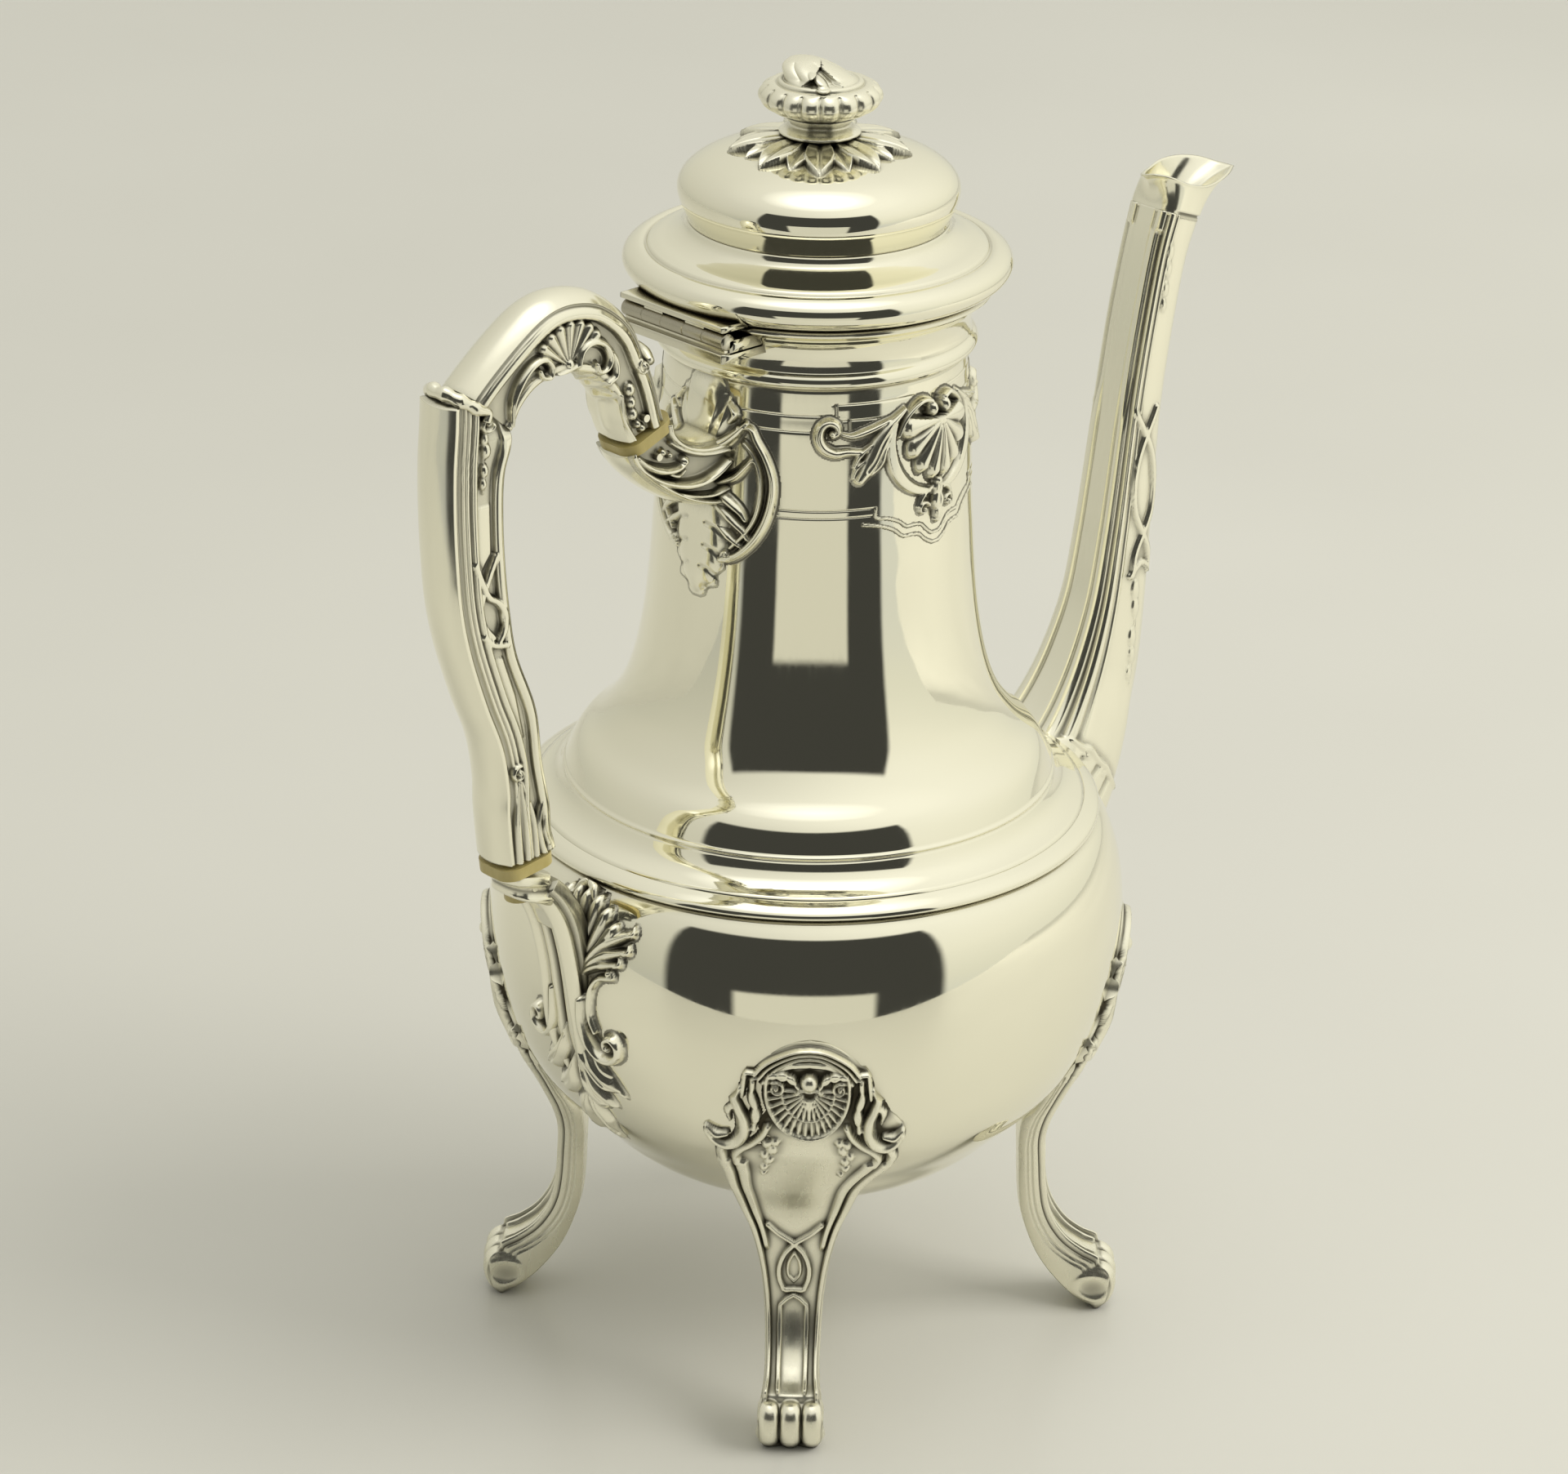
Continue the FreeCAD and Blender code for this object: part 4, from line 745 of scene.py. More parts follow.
# ------------------------------------------------------------------ spout
SP = [(58, 88, 17, 13.4), (67.5, 96.4, 15.8, 12.0), (74.6, 104.8, 13.6, 10.4), (80.0, 115, 11.1, 8.8), (83.3, 123.4, 9.8, 8.0), (86.1, 134.6, 8.2, 7.2), (88.15, 150, 7.0, 6.75), (89.05, 158, 6.6, 6.6), (91.1, 177, 5.8, 6.25), (94, 195, 5.6, 6.25), (97.4, 209.8, 5.65, 6.15), (99.9, 216.9, 6.0, 6.3)]
nst = 420
SC = curve(SP, n=nst)
tg = np.gradient(SC[:, :2], axis=0)
for _ in range(20):
    tg[1:-1] = (tg[:-2] + 2 * tg[1:-1] + tg[2:]) / 4
tg /= np.linalg.norm(tg, axis=1, keepdims=True)
snr = np.stack([tg[:, 1], -tg[:, 0]], 1)
hs = curve([(-1.0, 0.0), (-1.0, -0.35), (-0.97, -0.62), (-0.86, -0.82), (-0.66, -0.94), (-0.4, -0.99), (-0.1, -1.0), (0.3, -1.0), (0.66, -0.93), (0.9, -0.62), (0.98, -0.3), (1.0, 0.0)], n=96)
arc = np.r_[0, np.cumsum(np.linalg.norm(np.diff(hs, axis=0), axis=1))]
dn = np.gradient(hs, axis=0)
dn /= np.linalg.norm(dn, axis=1, keepdims=True)
hn = np.stack([dn[:, 1], -dn[:, 0]], 1)
if (hn * hs).sum() < 0:
    hn = -hn
sa = hs[None, :, 0] * SC[:, 2:3]
sy = hs[None, :, 1] * SC[:, 3:4]
SX = SC[:, None, 0] + sa * snr[:, None, 0]
SZ = SC[:, None, 1] + sa * snr[:, None, 1]
size = 0.5 * (SC[:, 2:3] + SC[:, 3:4])
q = arc[None] * np.ones_like(size)
zc = SC[:, 1:2]
top = smoothstep(172, 185, zc) * (1 - smoothstep(212.5, 213.2, zc))
low = np.clip(size / 6.4, 1, 1.5)
R = Relief(SX, SZ, 0.0)
R.H = -0.26 * np.exp(-((q - 0.40) / 0.05) ** 2) * (1 - 0.7 * top) - 0.6 * top * smoothstep(0.6, 0.64, q) * smoothstep(0.9, 0.86, q)
R.H += 0.26 * np.clip(1 - ((q - 0.63) / 0.19) ** 2, 0, 1) * (1 - top)
R.H -= 0.46 * np.exp(-((q - 0.86) / 0.05) ** 2)
R.H += 0.27 * np.clip(1 - ((q - 1.04) / 0.12) ** 2, 0, 1)
R.H -= 0.26 * np.exp(-((q - 1.22) / 0.05) ** 2)
R.H *= low
pan = smoothstep(-0.44, -0.34, hs[None, :, 0]) * smoothstep(0.82, 0.72, hs[None, :, 0]) * smoothstep(112, 122, zc)
R.H -= 0.35 * pan
keep = R.H.copy()
R.stroke([(87.2, 177), (92.4, 166), (92.6, 155), (88.0, 146), (87.0, 141)], 0.8, 0.7, "flat", -0.3)
R.stroke([(93.2, 177), (87.9, 166), (87.3, 156), (91.8, 146), (92.6, 141)], 0.8, 0.7, "flat", -0.3)
R.stroke([(86.4, 141.0), (89.8, 143.4), (93.0, 141.0)], 0.75, 0.7, "flat", -0.3)
for (x, z), r in (((88.3, 137.5), 1.1), ((88.4, 133.6), 1.0), ((87.4, 127.2), 1.0), ((87.2, 123.4), 0.9), ((86.2, 119.4), 0.8), ((95.4, 210.5), 0.9), ((95.0, 206.8), 0.85), ((94.3, 202.6), 0.8), ((93.9, 199), 0.7)):
    R.bead((x, z), r * 1.15, 0.45, -0.3, 2.0)
R.stroke([(88.3, 139.5), (88.4, 132), (87.3, 124), (86.0, 117)], 0.3, 0.35, "round", -0.32)
R.plate([(66.4, 111.0), (70.2, 107.8), (72.4, 106.8), (74.6, 103.8), (77.0, 101.6), (78.6, 98.6), (80.6, 95.2), (82, 78), (50, 78), (50, 111)], 0.5, 0.5)
for a, b in (((70.6, 106.2), (58, 99)), ((74.2, 102.4), (60, 92)), ((77.6, 98.8), (64, 86))):
    R.groove([a, b], 0.9, 0.4, smooth=False)
R.stroke([(67.2, 110.2), (70.2, 107.6), (72.4, 106.6), (74.6, 103.6), (77.0, 101.4), (78.6, 98.4), (80.3, 95.5)], [0.7, 1.0, 1.0, 0.9, 0.8], 0.95)
R.volute((71.2, 105.9), 1.4, 1.0, 60, 1, 0.6, 0.9)
R.volute((76.2, 100.6), 1.4, 1.0, 60, 1, 0.6, 0.9)
scav = 0.7 * R.cavity(4)
ox = SX + R.H * (hn[None, :, 0] * snr[:, None, 0])
oz = SZ + R.H * (hn[None, :, 0] * snr[:, None, 1])
oy = sy + R.H * hn[None, :, 1]
o1 = np.stack([ox, oy, oz], -1)
o2 = np.stack([ox, -oy, oz], -1)[:, ::-1][:, 1:-1]
OUT = np.concatenate([o1, o2], 1)
ocv = np.concatenate([scav, scav[:, ::-1][:, 1:-1]], 1)
kk = np.linspace(0, nst - 1, 46).astype(int)[::-1]
f = 0.80
ia, iy = sa[kk] * f, sy[kk] * f
i1 = np.stack([SC[kk][:, None, 0] + ia * snr[kk][:, None, 0], iy, SC[kk][:, None, 1] + ia * snr[kk][:, None, 1]], -1)
i2 = (i1 * np.array([1, -1, 1]))[:, ::-1][:, 1:-1]
IN = np.concatenate([i1, i2], 1)
add(ring("spout_tube_v", np.concatenate([OUT, IN]), np.concatenate([ocv, np.full(IN.shape[:2], 0.2)])), "pot", "spout_tube", "cast")

# beak: goes on from the tube to a pointed open lip; a ring groove marks it on the front and sides
near = curve([(91.7, 0, 225.9), (92.8, -2.9, 226.4), (95.6, -5.2, 225.6), (99.6, -6.5, 223.6), (104.4, -6.9, 222.4), (109, -6.3, 222.5), (113.6, -4.9, 223.0), (117.9, -2.4, 223.3)], n=96)
far = curve([(117.9, -2.4, 223.3), (116.4, 1.0, 223.8), (113.4, 3.8, 224.9), (109.4, 5.9, 225.4), (104.6, 6.5, 225.3), (99.4, 5.2, 224.7), (94.6, 2.5, 225.3), (91.7, 0, 225.9)], n=96)
rim = np.concatenate([near, far[1:-1]])
d0 = tg[-1]
i = nst - 1
b1 = np.stack([SX[i], sy[i], SZ[i]], -1)
base = np.concatenate([b1, (b1 * np.array([1, -1, 1]))[::-1][1:-1]])
front = np.concatenate([hs[:, 0], hs[::-1, 0][1:-1]])
front = smoothstep(-0.75, -0.35, front)[:, None]
cb = base.mean(0)


def hoop(t, k):
    # the end section of the tube moved along its axis and scaled
    return cb + (base - cb) * k + np.array([d0[0], 0, d0[1]]) * t


outer = [hoop(-0.6, 0.985), hoop(0.15, 1.0 - 0.06 * front), hoop(0.5, 1.0 - 0.06 * front), hoop(0.75, 1.0 + 0.012 * front)]
for t in np.linspace(0.04, 1, 30):
    e = t ** 1.7
    outer.append(hoop(0.8 + 5.4 * t, 1.0 + 0.012 * front) * (1 - e) + rim * e)
rimin = rim + (rim.mean(0) - rim) * 0.085
inner = []
for t in np.linspace(0, 1, 26)[::-1]:
    e = t ** 1.7
    inner.append(hoop(0.8 + 5.4 * t, 0.84) * (1 - e) + rimin * e)
inner.append(hoop(-0.6, 0.83))
lip = (rim + rimin) / 2 + np.array([0, 0, 0.28])
BK = np.concatenate([np.array(outer), lip[None], np.array(inner)])
bc = np.zeros(BK.shape[:2])
bc[1:3] = 0.8 * front[:, 0]
add(ring("spout_beak_v", BK, bc), "pot", "spout_beak", "cast")


# ------------------------------------------------------------------ feet
# rows from the top of the cartouche to the toe: front (s, z), back (s, z), half width
FOOT = curve([(65.3, 91.7, 63.9, 91.7, 0.5), (65.3, 91.3, 63.9, 91.3, 3.0), (65.25, 90.4, 63.9, 90.4, 5.5), (65.2, 88.5, 63.9, 88.5, 8.4), (65.05, 86.2, 63.8, 86.2, 10.6), (64.95, 84.6, 63.7, 84.6, 12.6), (64.6, 82, 63.4, 82, 13.6), (64.2, 79.4, 63.0, 79.4, 14.2), (63.75, 77.2, 62.5, 77.2, 16.0), (63.1, 74.6, 61.9, 74.6, 17.2), (62.5, 72.2, 61.2, 72.2, 19.2), (61.65, 69.6, 60.3, 69.4, 20.6), (60.5, 67, 59.0, 66.6, 20.4), (59.6, 64.8, 57.4, 64.0, 18.8), (58.7, 62.6, 55.8, 61.8, 18.3), (57.5, 60, 53.6, 58.6, 17.4), (56.1, 57, 51.2, 55.4, 15.3), (54.0, 52.4, 48.4, 51.4, 12.9), (51.6, 47, 45.7, 46.8, 10.9), (50.25, 41.6, 45.0, 41.0, 8.7), (50.2, 34.5, 45.2, 34.2, 6.8), (50.55, 28, 45.5, 27.4, 5.8), (51.3, 23.4, 46.1, 22.4, 5.4), (52.9, 19.4, 47.6, 17.2, 5.2), (55.6, 15.7, 49.4, 12.8, 5.1), (59.2, 13.0, 51.6, 9.2, 5.2), (62.6, 11.3, 53.6, 6.8, 5.6), (65.0, 8.9, 55.8, 4.6, 6.1), (66.1, 5.6, 57.9, 2.9, 6.4), (65.3, 2.4, 59.8, 1.5, 6.2), (63.2, 0.3, 61.4, 0.3, 5.2)], n=430)


def foot(tag, angle, skew):
    nf, nsd, nbk = 104, 26, 16
    Fs, Fz, Bs, Bz, w = [FOOT[:, k][:, None] for k in range(5)]
    d = np.gradient(FOOT[:, :2], axis=0)
    for _ in range(4):
        d[1:-1] = (d[:-2] + 2 * d[1:-1] + d[2:]) / 4
    d /= np.linalg.norm(d, axis=1, keepdims=True)
    ns, nz = -d[:, 1][:, None], d[:, 0][:, None]
    arc = np.r_[0, np.cumsum(np.linalg.norm(np.diff(FOOT[:, :2], axis=0), axis=1))][:, None]
    toe = smoothstep(0, 1, (arc - np.interp(11.5, FOOT[::-1, 1], arc[::-1, 0])) / 2.0)
    eta = np.linspace(-1, 1, nf)[None]
    Y = w * eta
    Zc = Fz * np.ones_like(eta)
    X = np.abs(Y)
    bl = smoothstep(50, 64, Zc)
    drop = bl * (Fs - np.sqrt(np.maximum(Fs**2 - Y**2, 1))) + (1 - bl) * 0.012 * Y**2
    R = Relief(X, np.where(arc > np.interp(11.1, FOOT[::-1, 1], arc[::-1, 0]), -50.0, Zc), 0.0)
    edge = w - X
    R.H = -0.3 - 0.9 * (1 - np.clip(edge / 0.8, 0, 1)) ** 2
    R.H = np.where(Zc > 63, R.H - 0.35 * smoothstep(63, 66, Zc), R.H)
    # arched top with three ridges and a flat band
    arch = [(0, 90.0), (2.9, 89.65), (5.9, 88.4), (8.7, 86.5), (10.75, 84.0)]
    for k, hh in ((0, 1.35), (1, 1.1), (2, 0.9)):
        R.stroke([(x * (1 - 0.075 * k), y - 0.95 * k) for x, y in arch], 0.5, hh, base=-0.25)
    R.stroke([(0, 86.7), (4.7, 86.0), (8.3, 83.3)], 0.7, 0.55, "flat", -0.2)
    R.stroke([(10.5, 84.3), (12.5, 84.3), (13.1, 78.6)], 0.55, 1.2, smooth=False, base=-0.25)
    R.stroke([(10.4, 83.2), (11.3, 82.9), (11.4, 79.6)], 0.45, 1.0, smooth=False, base=-0.25)
    # shell: fine ribs in two rings inside a plain rim
    def spoke(f, r):
        return (r * math.sin(math.radians(f)), 80.7 - 1.36 * r * math.cos(math.radians(f)))
    R.plate([spoke(f, 8.5) for f in range(-100, 101, 10)], 0.3, 0.6, -0.55)
    for f in np.arange(0, 99, 13.0):
        R.stroke([spoke(f, 1.6), spoke(f, 3.4), spoke(f, 5.0)], [0.3, 0.48], [0.95, 1.05], base=-0.35)
    for f in np.arange(5.2, 99, 10.4):
        R.stroke([spoke(f, 5.7), spoke(f, 8.0)], [0.42, 0.55], [0.75, 0.85], base=-0.35)
    R.stroke([spoke(f, 5.35) for f in range(-104, 105, 8)], 0.36, 1.0, base=-0.35)
    R.stroke([spoke(f, 8.5) for f in range(-104, 105, 8)], 0.55, 1.5, base=-0.35)
    R.leaf([(7.8, 84.0), (5.6, 84.2), (3.6, 83.6), (2.2, 81.8)], [0.6, 1.1, 0.9, 0.5], 1.5, 3, -0.2)
    R.volute((6.5, 81.2), 1.75, 1.3, 60, 1, 0.5, 1.35, -0.2)
    R.bead((0, 82.9), 1.9, 2.1, 0.0)
    R.stroke([(0, 81.0), (1.6, 81.3), (2.5, 80.4)], 0.5, 1.3, base=0.0)
    # acanthus C-scrolls at the sides
    R.stroke([(13.6, 80.6), (14.6, 78.2), (13.9, 75.4), (12.9, 72.6), (12.9, 69.2), (14.3, 66.5), (16.6, 65.5), (18.8, 66.4), (20.0, 68.2)], [0.6, 1.2, 1.5, 1.6, 1.5, 0.9], [1.2, 1.7, 2.0, 2.0, 1.9, 1.5], base=-0.3)
    R.stroke([(16.0, 68.6), (18.2, 68.2), (20.2, 69.8)], [0.6, 1.1, 0.5], [1.3, 1.9, 1.3], base=-0.3)
    R.stroke([(14.6, 76.6), (15.8, 74.6), (15.4, 72.2)], [0.5, 0.8, 0.4], [1.1, 1.4, 1.0], base=-0.3)
    R.leaf([(11, 82.2), (11.2, 78.9), (10.4, 75.3), (10.8, 70.5)], [0.5, 0.9, 1.1, 0.5], 1.5, 3, -0.3)
    # the two rails that frame the panel and run down the leg
    inner = [(8.0, 71.4), (9.2, 68.6), (11.0, 66.4), (13.4, 64.2), (14.2, 62.4), (13.5, 60.4)]
    outer = [(16.6, 65.4), (17.1, 63.4), (16.6, 61.4), (15.9, 59.8)]
    R.stroke(inner, [0.7, 0.85, 0.95, 1.0], [1.1, 1.2, 1.2], base=-0.3)
    R.stroke(outer, [1.0, 1.1, 1.15], [1.25, 1.25], base=-0.3)
    et = X / w
    fo = smoothstep(63.2, 60.5, Zc) if False else 1 - smoothstep(60.5, 63.2, Zc)
    R.H = np.maximum(R.H, -0.3 + 1.2 * (1 - ((et - 0.912) / 0.086) ** 4) * fo - 3 * (1 - fo))
    fi = fo * smoothstep(33.5, 39, Zc)
    R.H = np.maximum(R.H, -0.3 + 1.1 * (1 - ((et - 0.725) / 0.080) ** 4) * fi - 3 * (1 - fi))
    for c, r in (((6.6, 67.0), 0.9), ((8.2, 66.4), 1.0), ((7.2, 64.8), 1.1), ((8.6, 63.2), 0.9), ((7.6, 61.8), 0.95), ((8.0, 59.8), 0.8), ((7.6, 58.2), 0.6)):
        R.bead(c, r, 0.95, -0.35, 1.2)
    # crossing straps, loop and pointed panel on the leg
    R.stroke([(5.4, 43.4), (3.4, 41.4), (0.0, 39.0), (-2.0, 36.6), (-3.0, 33.6)], 0.55, 0.95, "flat", -0.3)
    R.stroke([(0.0, 39.0), (2.0, 36.6), (3.0, 33.6), (2.9, 31.2), (2.2, 29.3), (2.0, 28.8), (0, 28.8)], 0.55, 0.95, "flat", -0.3)
    R.stroke([(0.0, 37.0), (1.15, 34.6), (1.1, 32.0), (0, 30.6)], 0.4, 0.6, "round", -0.3)
    R.stroke([(0, 27.6), (1.3, 26.8), (2.7, 25.4), (2.7, 12.0)], 0.5, 0.85, "flat", -0.3, smooth=False)
    # toe: three rounded claws
    p_ = np.clip((arc - np.interp(11.1, FOOT[::-1, 1], arc[::-1, 0])) / 3.2, 0, 1)
    grow = np.maximum(np.sqrt(1 - (1 - p_) ** 2), 0.05)
    lob = np.maximum.reduce([grow * np.sqrt(np.clip(1 - ((Y - c) / (hw * (0.45 + 0.55 * grow))) ** 2, 0, 1)) for c, hw in ((-4.35, 2.1), (0.0, 2.15), (4.35, 2.1))])
    knee = arc - np.interp(10.7, FOOT[::-1, 1], arc[::-1, 0])
    shape = 1.6 * (lob - 0.72) - 0.3 * np.exp(-((knee + 0.4) / 0.7) ** 2) + 0.4 * np.exp(-((knee - 3.4) / 2.0) ** 2)
    Hf = R.H * (1 - toe) + toe * shape
    R.H = Hf
    cav = R.cavity(4)
    y0 = skew * (smoothstep(52, 64, Zc) * 2.3 - 0.3 * (1 - smoothstep(52, 64, Zc)))
    slim = 1 - 0.09 * smoothstep(60, 66, Zc) * (Y > 0) * abs(skew)
    S1, Z1, Y1 = Fs - drop + Hf * ns, Zc + Hf * nz, Y * slim + y0
    # sides, with a fine moulding along the front and an oval eye at the toe
    v = np.linspace(0, 1, nsd + 2)[None, 1:-1]
    dist = np.hypot(Fs - Bs, Fz - Bz)
    bs = bl[:, :1]
    dropb = bs * (Bs - np.sqrt(np.maximum(Bs**2 - w**2, 1)))
    Se = S1[:, -1:] * (1 - v) + (Bs - dropb) * v
    Ze = Z1[:, -1:] * (1 - v) + Bz * v
    q = np.hypot((Se - 61.6) / 3.1, (Ze - 5.4) / 2.2)
    hs_ = -0.3 * np.exp(-((dist * v - 1.7) / 0.35) ** 2) - 0.22 * np.exp(-((dist * v - 2.9) / 0.3) ** 2)
    hs_ = hs_ * (dist > 3.6) * (1 - smoothstep(0.0, 1.0, toe)) - 0.55 * np.clip(1 - q * q, 0, 1) ** 0.7 + 0.22 * np.exp(-((q - 1.3) / 0.2) ** 2)
    bul = (0.5 * np.sin(np.pi * v) * (1 - bs) - 0.9 * v**3 * (1 - bs)) + hs_
    Ye = w + bul
    u_ = np.linspace(1, -1, nbk)[None]
    Sb = (Bs - dropb) - (1 - bs) * 0.5 * (1 - u_**2)
    Zb = Bz * np.ones_like(u_)
    Yb = (w - 0.9 * (1 - bs)) * u_
    yz = y0[:, :1]
    S = np.concatenate([S1, Se, Sb, Se[:, ::-1]], 1)
    Zz = np.maximum(np.concatenate([Z1, Ze, Zb, Ze[:, ::-1]], 1), 0.0)
    sr = slim[:, -1:]
    Yy = np.concatenate([Y1, Ye * sr + yz, np.where(Yb > 0, Yb * sr, Yb) + yz, -Ye[:, ::-1] + yz], 1)
    cs = np.clip(-hs_ * 1.0, 0, 1)
    cc = np.concatenate([cav, cs, np.full(Sb.shape, 0.1), cs[:, ::-1]], 1)
    a = math.radians(angle)
    G = np.stack([S * math.cos(a) - Yy * math.sin(a), S * math.sin(a) + Yy * math.cos(a), Zz], -1)
    add(loft("foot_%s_v" % tag, G, cc), "pot", "foot_" + tag, "satin")


foot("front_left", 225, 1)
foot("front_right", -45, 0)
foot("back_left", 135, 0)
foot("back_right", 45, 0)


# ------------------------------------------------------------------ cartouches on the neck
def on_neck(U, Zv, Hh, th0):
    r = neck_r(Zv)
    e = 0.4
    sl = (neck_r(Zv + e) - neck_r(Zv - e)) / (2 * e)
    n = np.sqrt(1 + sl * sl)
    th = th0 + U / 31.0
    rr = r + Hh / n
    return np.stack([rr * np.cos(th), rr * np.sin(th), Zv - Hh * sl / n], -1)


def corner_max(H):
    return np.maximum.reduce([H[:-1, :-1], H[1:, :-1], H[:-1, 1:], H[1:, 1:]])


def neck_ornament(tag, th0):
    u = np.arange(-28, 28.01, 0.2)
    z = np.arange(176.6, 209.6, 0.2)
    Zg, U = np.meshgrid(z, u, indexing="ij")
    X = np.abs(U)
    R = Relief(X, Zg)
    k = (X < 14.2) & (Zg > 183.5 - 0) & (Zg < 205)
    # engraved outline of the field below: raised hair lines
    inn = [(14.0, 187.3), (14.0, 185.5), (11.5, 185), (8.9, 183.9), (7.3, 182.7), (5.5, 182.7), (3.7, 182.3), (2.6, 181.2), (1.0, 180.0), (0, 179.9)]
    outl = [(16.6, 184.3), (13.2, 183.7), (10.4, 182.6), (8.1, 180.9), (5.9, 180.8), (4.2, 180.4), (2.9, 179.2), (1.0, 178.1), (0, 178)]
    # side scrolls
    R.stroke([(9.6, 205.0), (12.6, 204.0), (16.0, 202.9), (19.0, 202.2), (20.8, 202.6)], [0.7, 0.9, 0.9, 0.5], [0.9, 1.1, 1.1, 0.8])
    R.stroke([(14.4, 199.4), (17.4, 199.0), (20.2, 199.2), (22.4, 199.0), (24.4, 200.0), (25.4, 202.0), (25.0, 204.0), (23.5, 205.0), (22.0, 204.3), (21.8, 203.0), (22.8, 202.3)], [0.5, 0.8, 1.1, 1.3, 1.3, 1.1, 0.6], [0.7, 1.0, 1.3, 1.5, 1.5, 1.4, 1.2])
    R.bead((22.9, 202.9), 0.75, 1.6)
    # hanging fronds
    R.stroke([(7.8, 206.2), (11.0, 203.6), (13.4, 200.2), (15.4, 196.6), (17.6, 193.6)], [0.7, 1.4, 1.9, 2.0, 1.2], [1.2, 1.6, 1.7, 1.8, 1.7])
    R.stroke([(10.2, 203.0), (12.2, 199.6), (13.4, 196.4), (15.2, 194.6)], [0.5, 0.8, 1.0, 0.5], [0.9, 1.2, 1.3, 1.0])
    R.groove([(10.4, 203.8), (13.0, 200.6), (14.8, 197.2), (16.2, 195.4)], 0.4, 0.35)
    R.stroke([(15.2, 200.2), (17.4, 198.4), (18.6, 196.2)], [0.4, 0.8, 0.4], [0.9, 1.2, 0.8])
    R.stroke([(16.2, 197.6), (18.0, 196.0), (18.8, 194.0)], [0.4, 0.7, 0.4], [0.9, 1.1, 0.8])
    # shell in a plain crescent
    R.stroke([(9.4, 205.0), (10.6, 202.4), (11.1, 199.1), (10.3, 195.2), (8.3, 192.0), (5.5, 189.9), (2.2, 188.9)], [0.5, 0.9, 1.3, 1.45, 1.35, 1.1, 0.7], [1.2, 1.15, 1.0, 0.9], "flat")
    R.fan((0, 203.2), 172, 368, 8.9, 8, 2.7, squash=1.4, dome=True, scallop=0.13)
    R.bead((1.75, 205.4), 1.3, 2.9, stretch=1.45)
    R.stroke([(1.9, 206.9), (3.6, 207.3), (6.0, 206.2), (8.2, 203.8), (9.4, 201.2)], [0.9, 0.9, 0.7, 0.5], [2.3, 2.0, 1.6, 1.2])
    # pendant
    R.bead((0, 190.6), 1.1, 1.8)
    R.leaf([(0, 190.0), (0, 187.2), (0, 183.6)], [1.1, 1.75, 0.9], 1.7, 2, vein=0.2, cut=0.2)
    R.volute((3.5, 185.5), 1.45, 1.1, 160, -1, 0.55, 1.2)
    R.stroke([(1.2, 189.4), (3.4, 188.4), (4.8, 186.2)], [0.5, 0.75, 0.4], [0.9, 1.1, 0.8])
    R.bead((0, 182.8), 0.85, 1.3)
    rest = R.H.copy()
    R.stroke(inn, 0.3, 0.3)
    R.stroke(outl, 0.3, 0.3)
    R.stroke([(22.0, 206.2), (22.0, 208.2)], 0.3, 0.16)
    R.stroke([(19.4, 203.1), (19.4, 205.2)], 0.3, 0.16)
    mask = (corner_max(R.H) > 0.0) | (corner_max(rest) > -0.45)
    H = np.maximum(R.H, 0.03)
    hair = Relief(X, Zg)
    for line in (inn, outl, [(22.0, 206.2), (22.0, 208.2)], [(19.4, 203.1), (19.4, 205.2)]):
        hair.stroke(line, 0.42, 0.5)
    # cv: hair lines dark, patina in the hollows from the cavity, and painted shade on the low ground (rest below 0.12)
    # at the foot of the relief
    cv = np.where((hair.H > -0.1) & (rest < 0.0), 0.75 * (R.H < 0.16), np.maximum(0.85 * R.cavity(4), 0.55 * (rest < 0.12)))
    ob = patch("neck_ornament_%s_v" % tag, on_neck(U, Zg, H, th0), on_neck(U, Zg, np.full(H.shape, -0.8), th0), mask, cv)
    add(ob, "pot", "neck_ornament_" + tag, "cast")


neck_ornament("front", math.radians(-90) + CEN / 31)
neck_ornament("back", math.radians(90) + CEN / 31)


# ------------------------------------------------------------------ handle sockets
def arm_profile(dG, dI, t):
    y = -1.5 * np.ones_like(dG)
    y = np.where(dG < 2.4, np.maximum(y, 0.35 - 1.85 * (np.clip(dG, 0, 2.4) / 1.1 - 1) ** 2), y)
    y = np.where(dI < 1.8, np.maximum(y, 0.2 - 1.7 * (np.clip(dI, 0, 1.8) / 0.85 - 1) ** 2), y)
    return y


def arm_decor(R):
    R.stroke([(42.6, 201.6), (40.0, 199.8), (36.8, 198.4), (33.6, 197.8), (30, 198.0)], [0.5, 0.75, 0.9, 0.9], [1.3, 1.7, 1.9], base=-1.5)
    R.stroke([(50.8, 200.4), (48.6, 198.4), (46.0, 197.0), (43.2, 196.3), (40.6, 196.5), (39.2, 197.6)], [0.7, 1.1, 1.25, 1.1, 0.8], [1.6, 2.1, 2.3, 2.2, 1.8], base=-1.4)
    R.bead((39.6, 197.4), 1.2, 2.0, -1.4)
    R.stroke([(43.4, 195.6), (41.2, 194.9), (39.4, 195.6)], [0.5, 0.8, 0.5], [1.5, 1.9, 1.4], base=-1.4)
    R.stroke([(49.6, 197.6), (46.4, 195.2), (42.6, 193.4), (38.6, 192.4), (35.0, 192.6), (32.0, 194.0), (30, 195.6)], [0.7, 0.95, 1.15, 1.25, 1.2, 0.9], [1.6, 2.0, 2.3, 2.4, 2.2], base=-1.4)
    R.stroke([(42.4, 191.8), (37.6, 190.0), (33, 189.4), (30, 190.2)], [0.4, 0.7, 0.8], [1.3, 1.8, 1.8], base=-1.4)
    R.bead((44.6, 200.2), 0.85, 1.5, -1.4)
    R.bead((42.8, 199.2), 0.65, 1.3, -1.4)


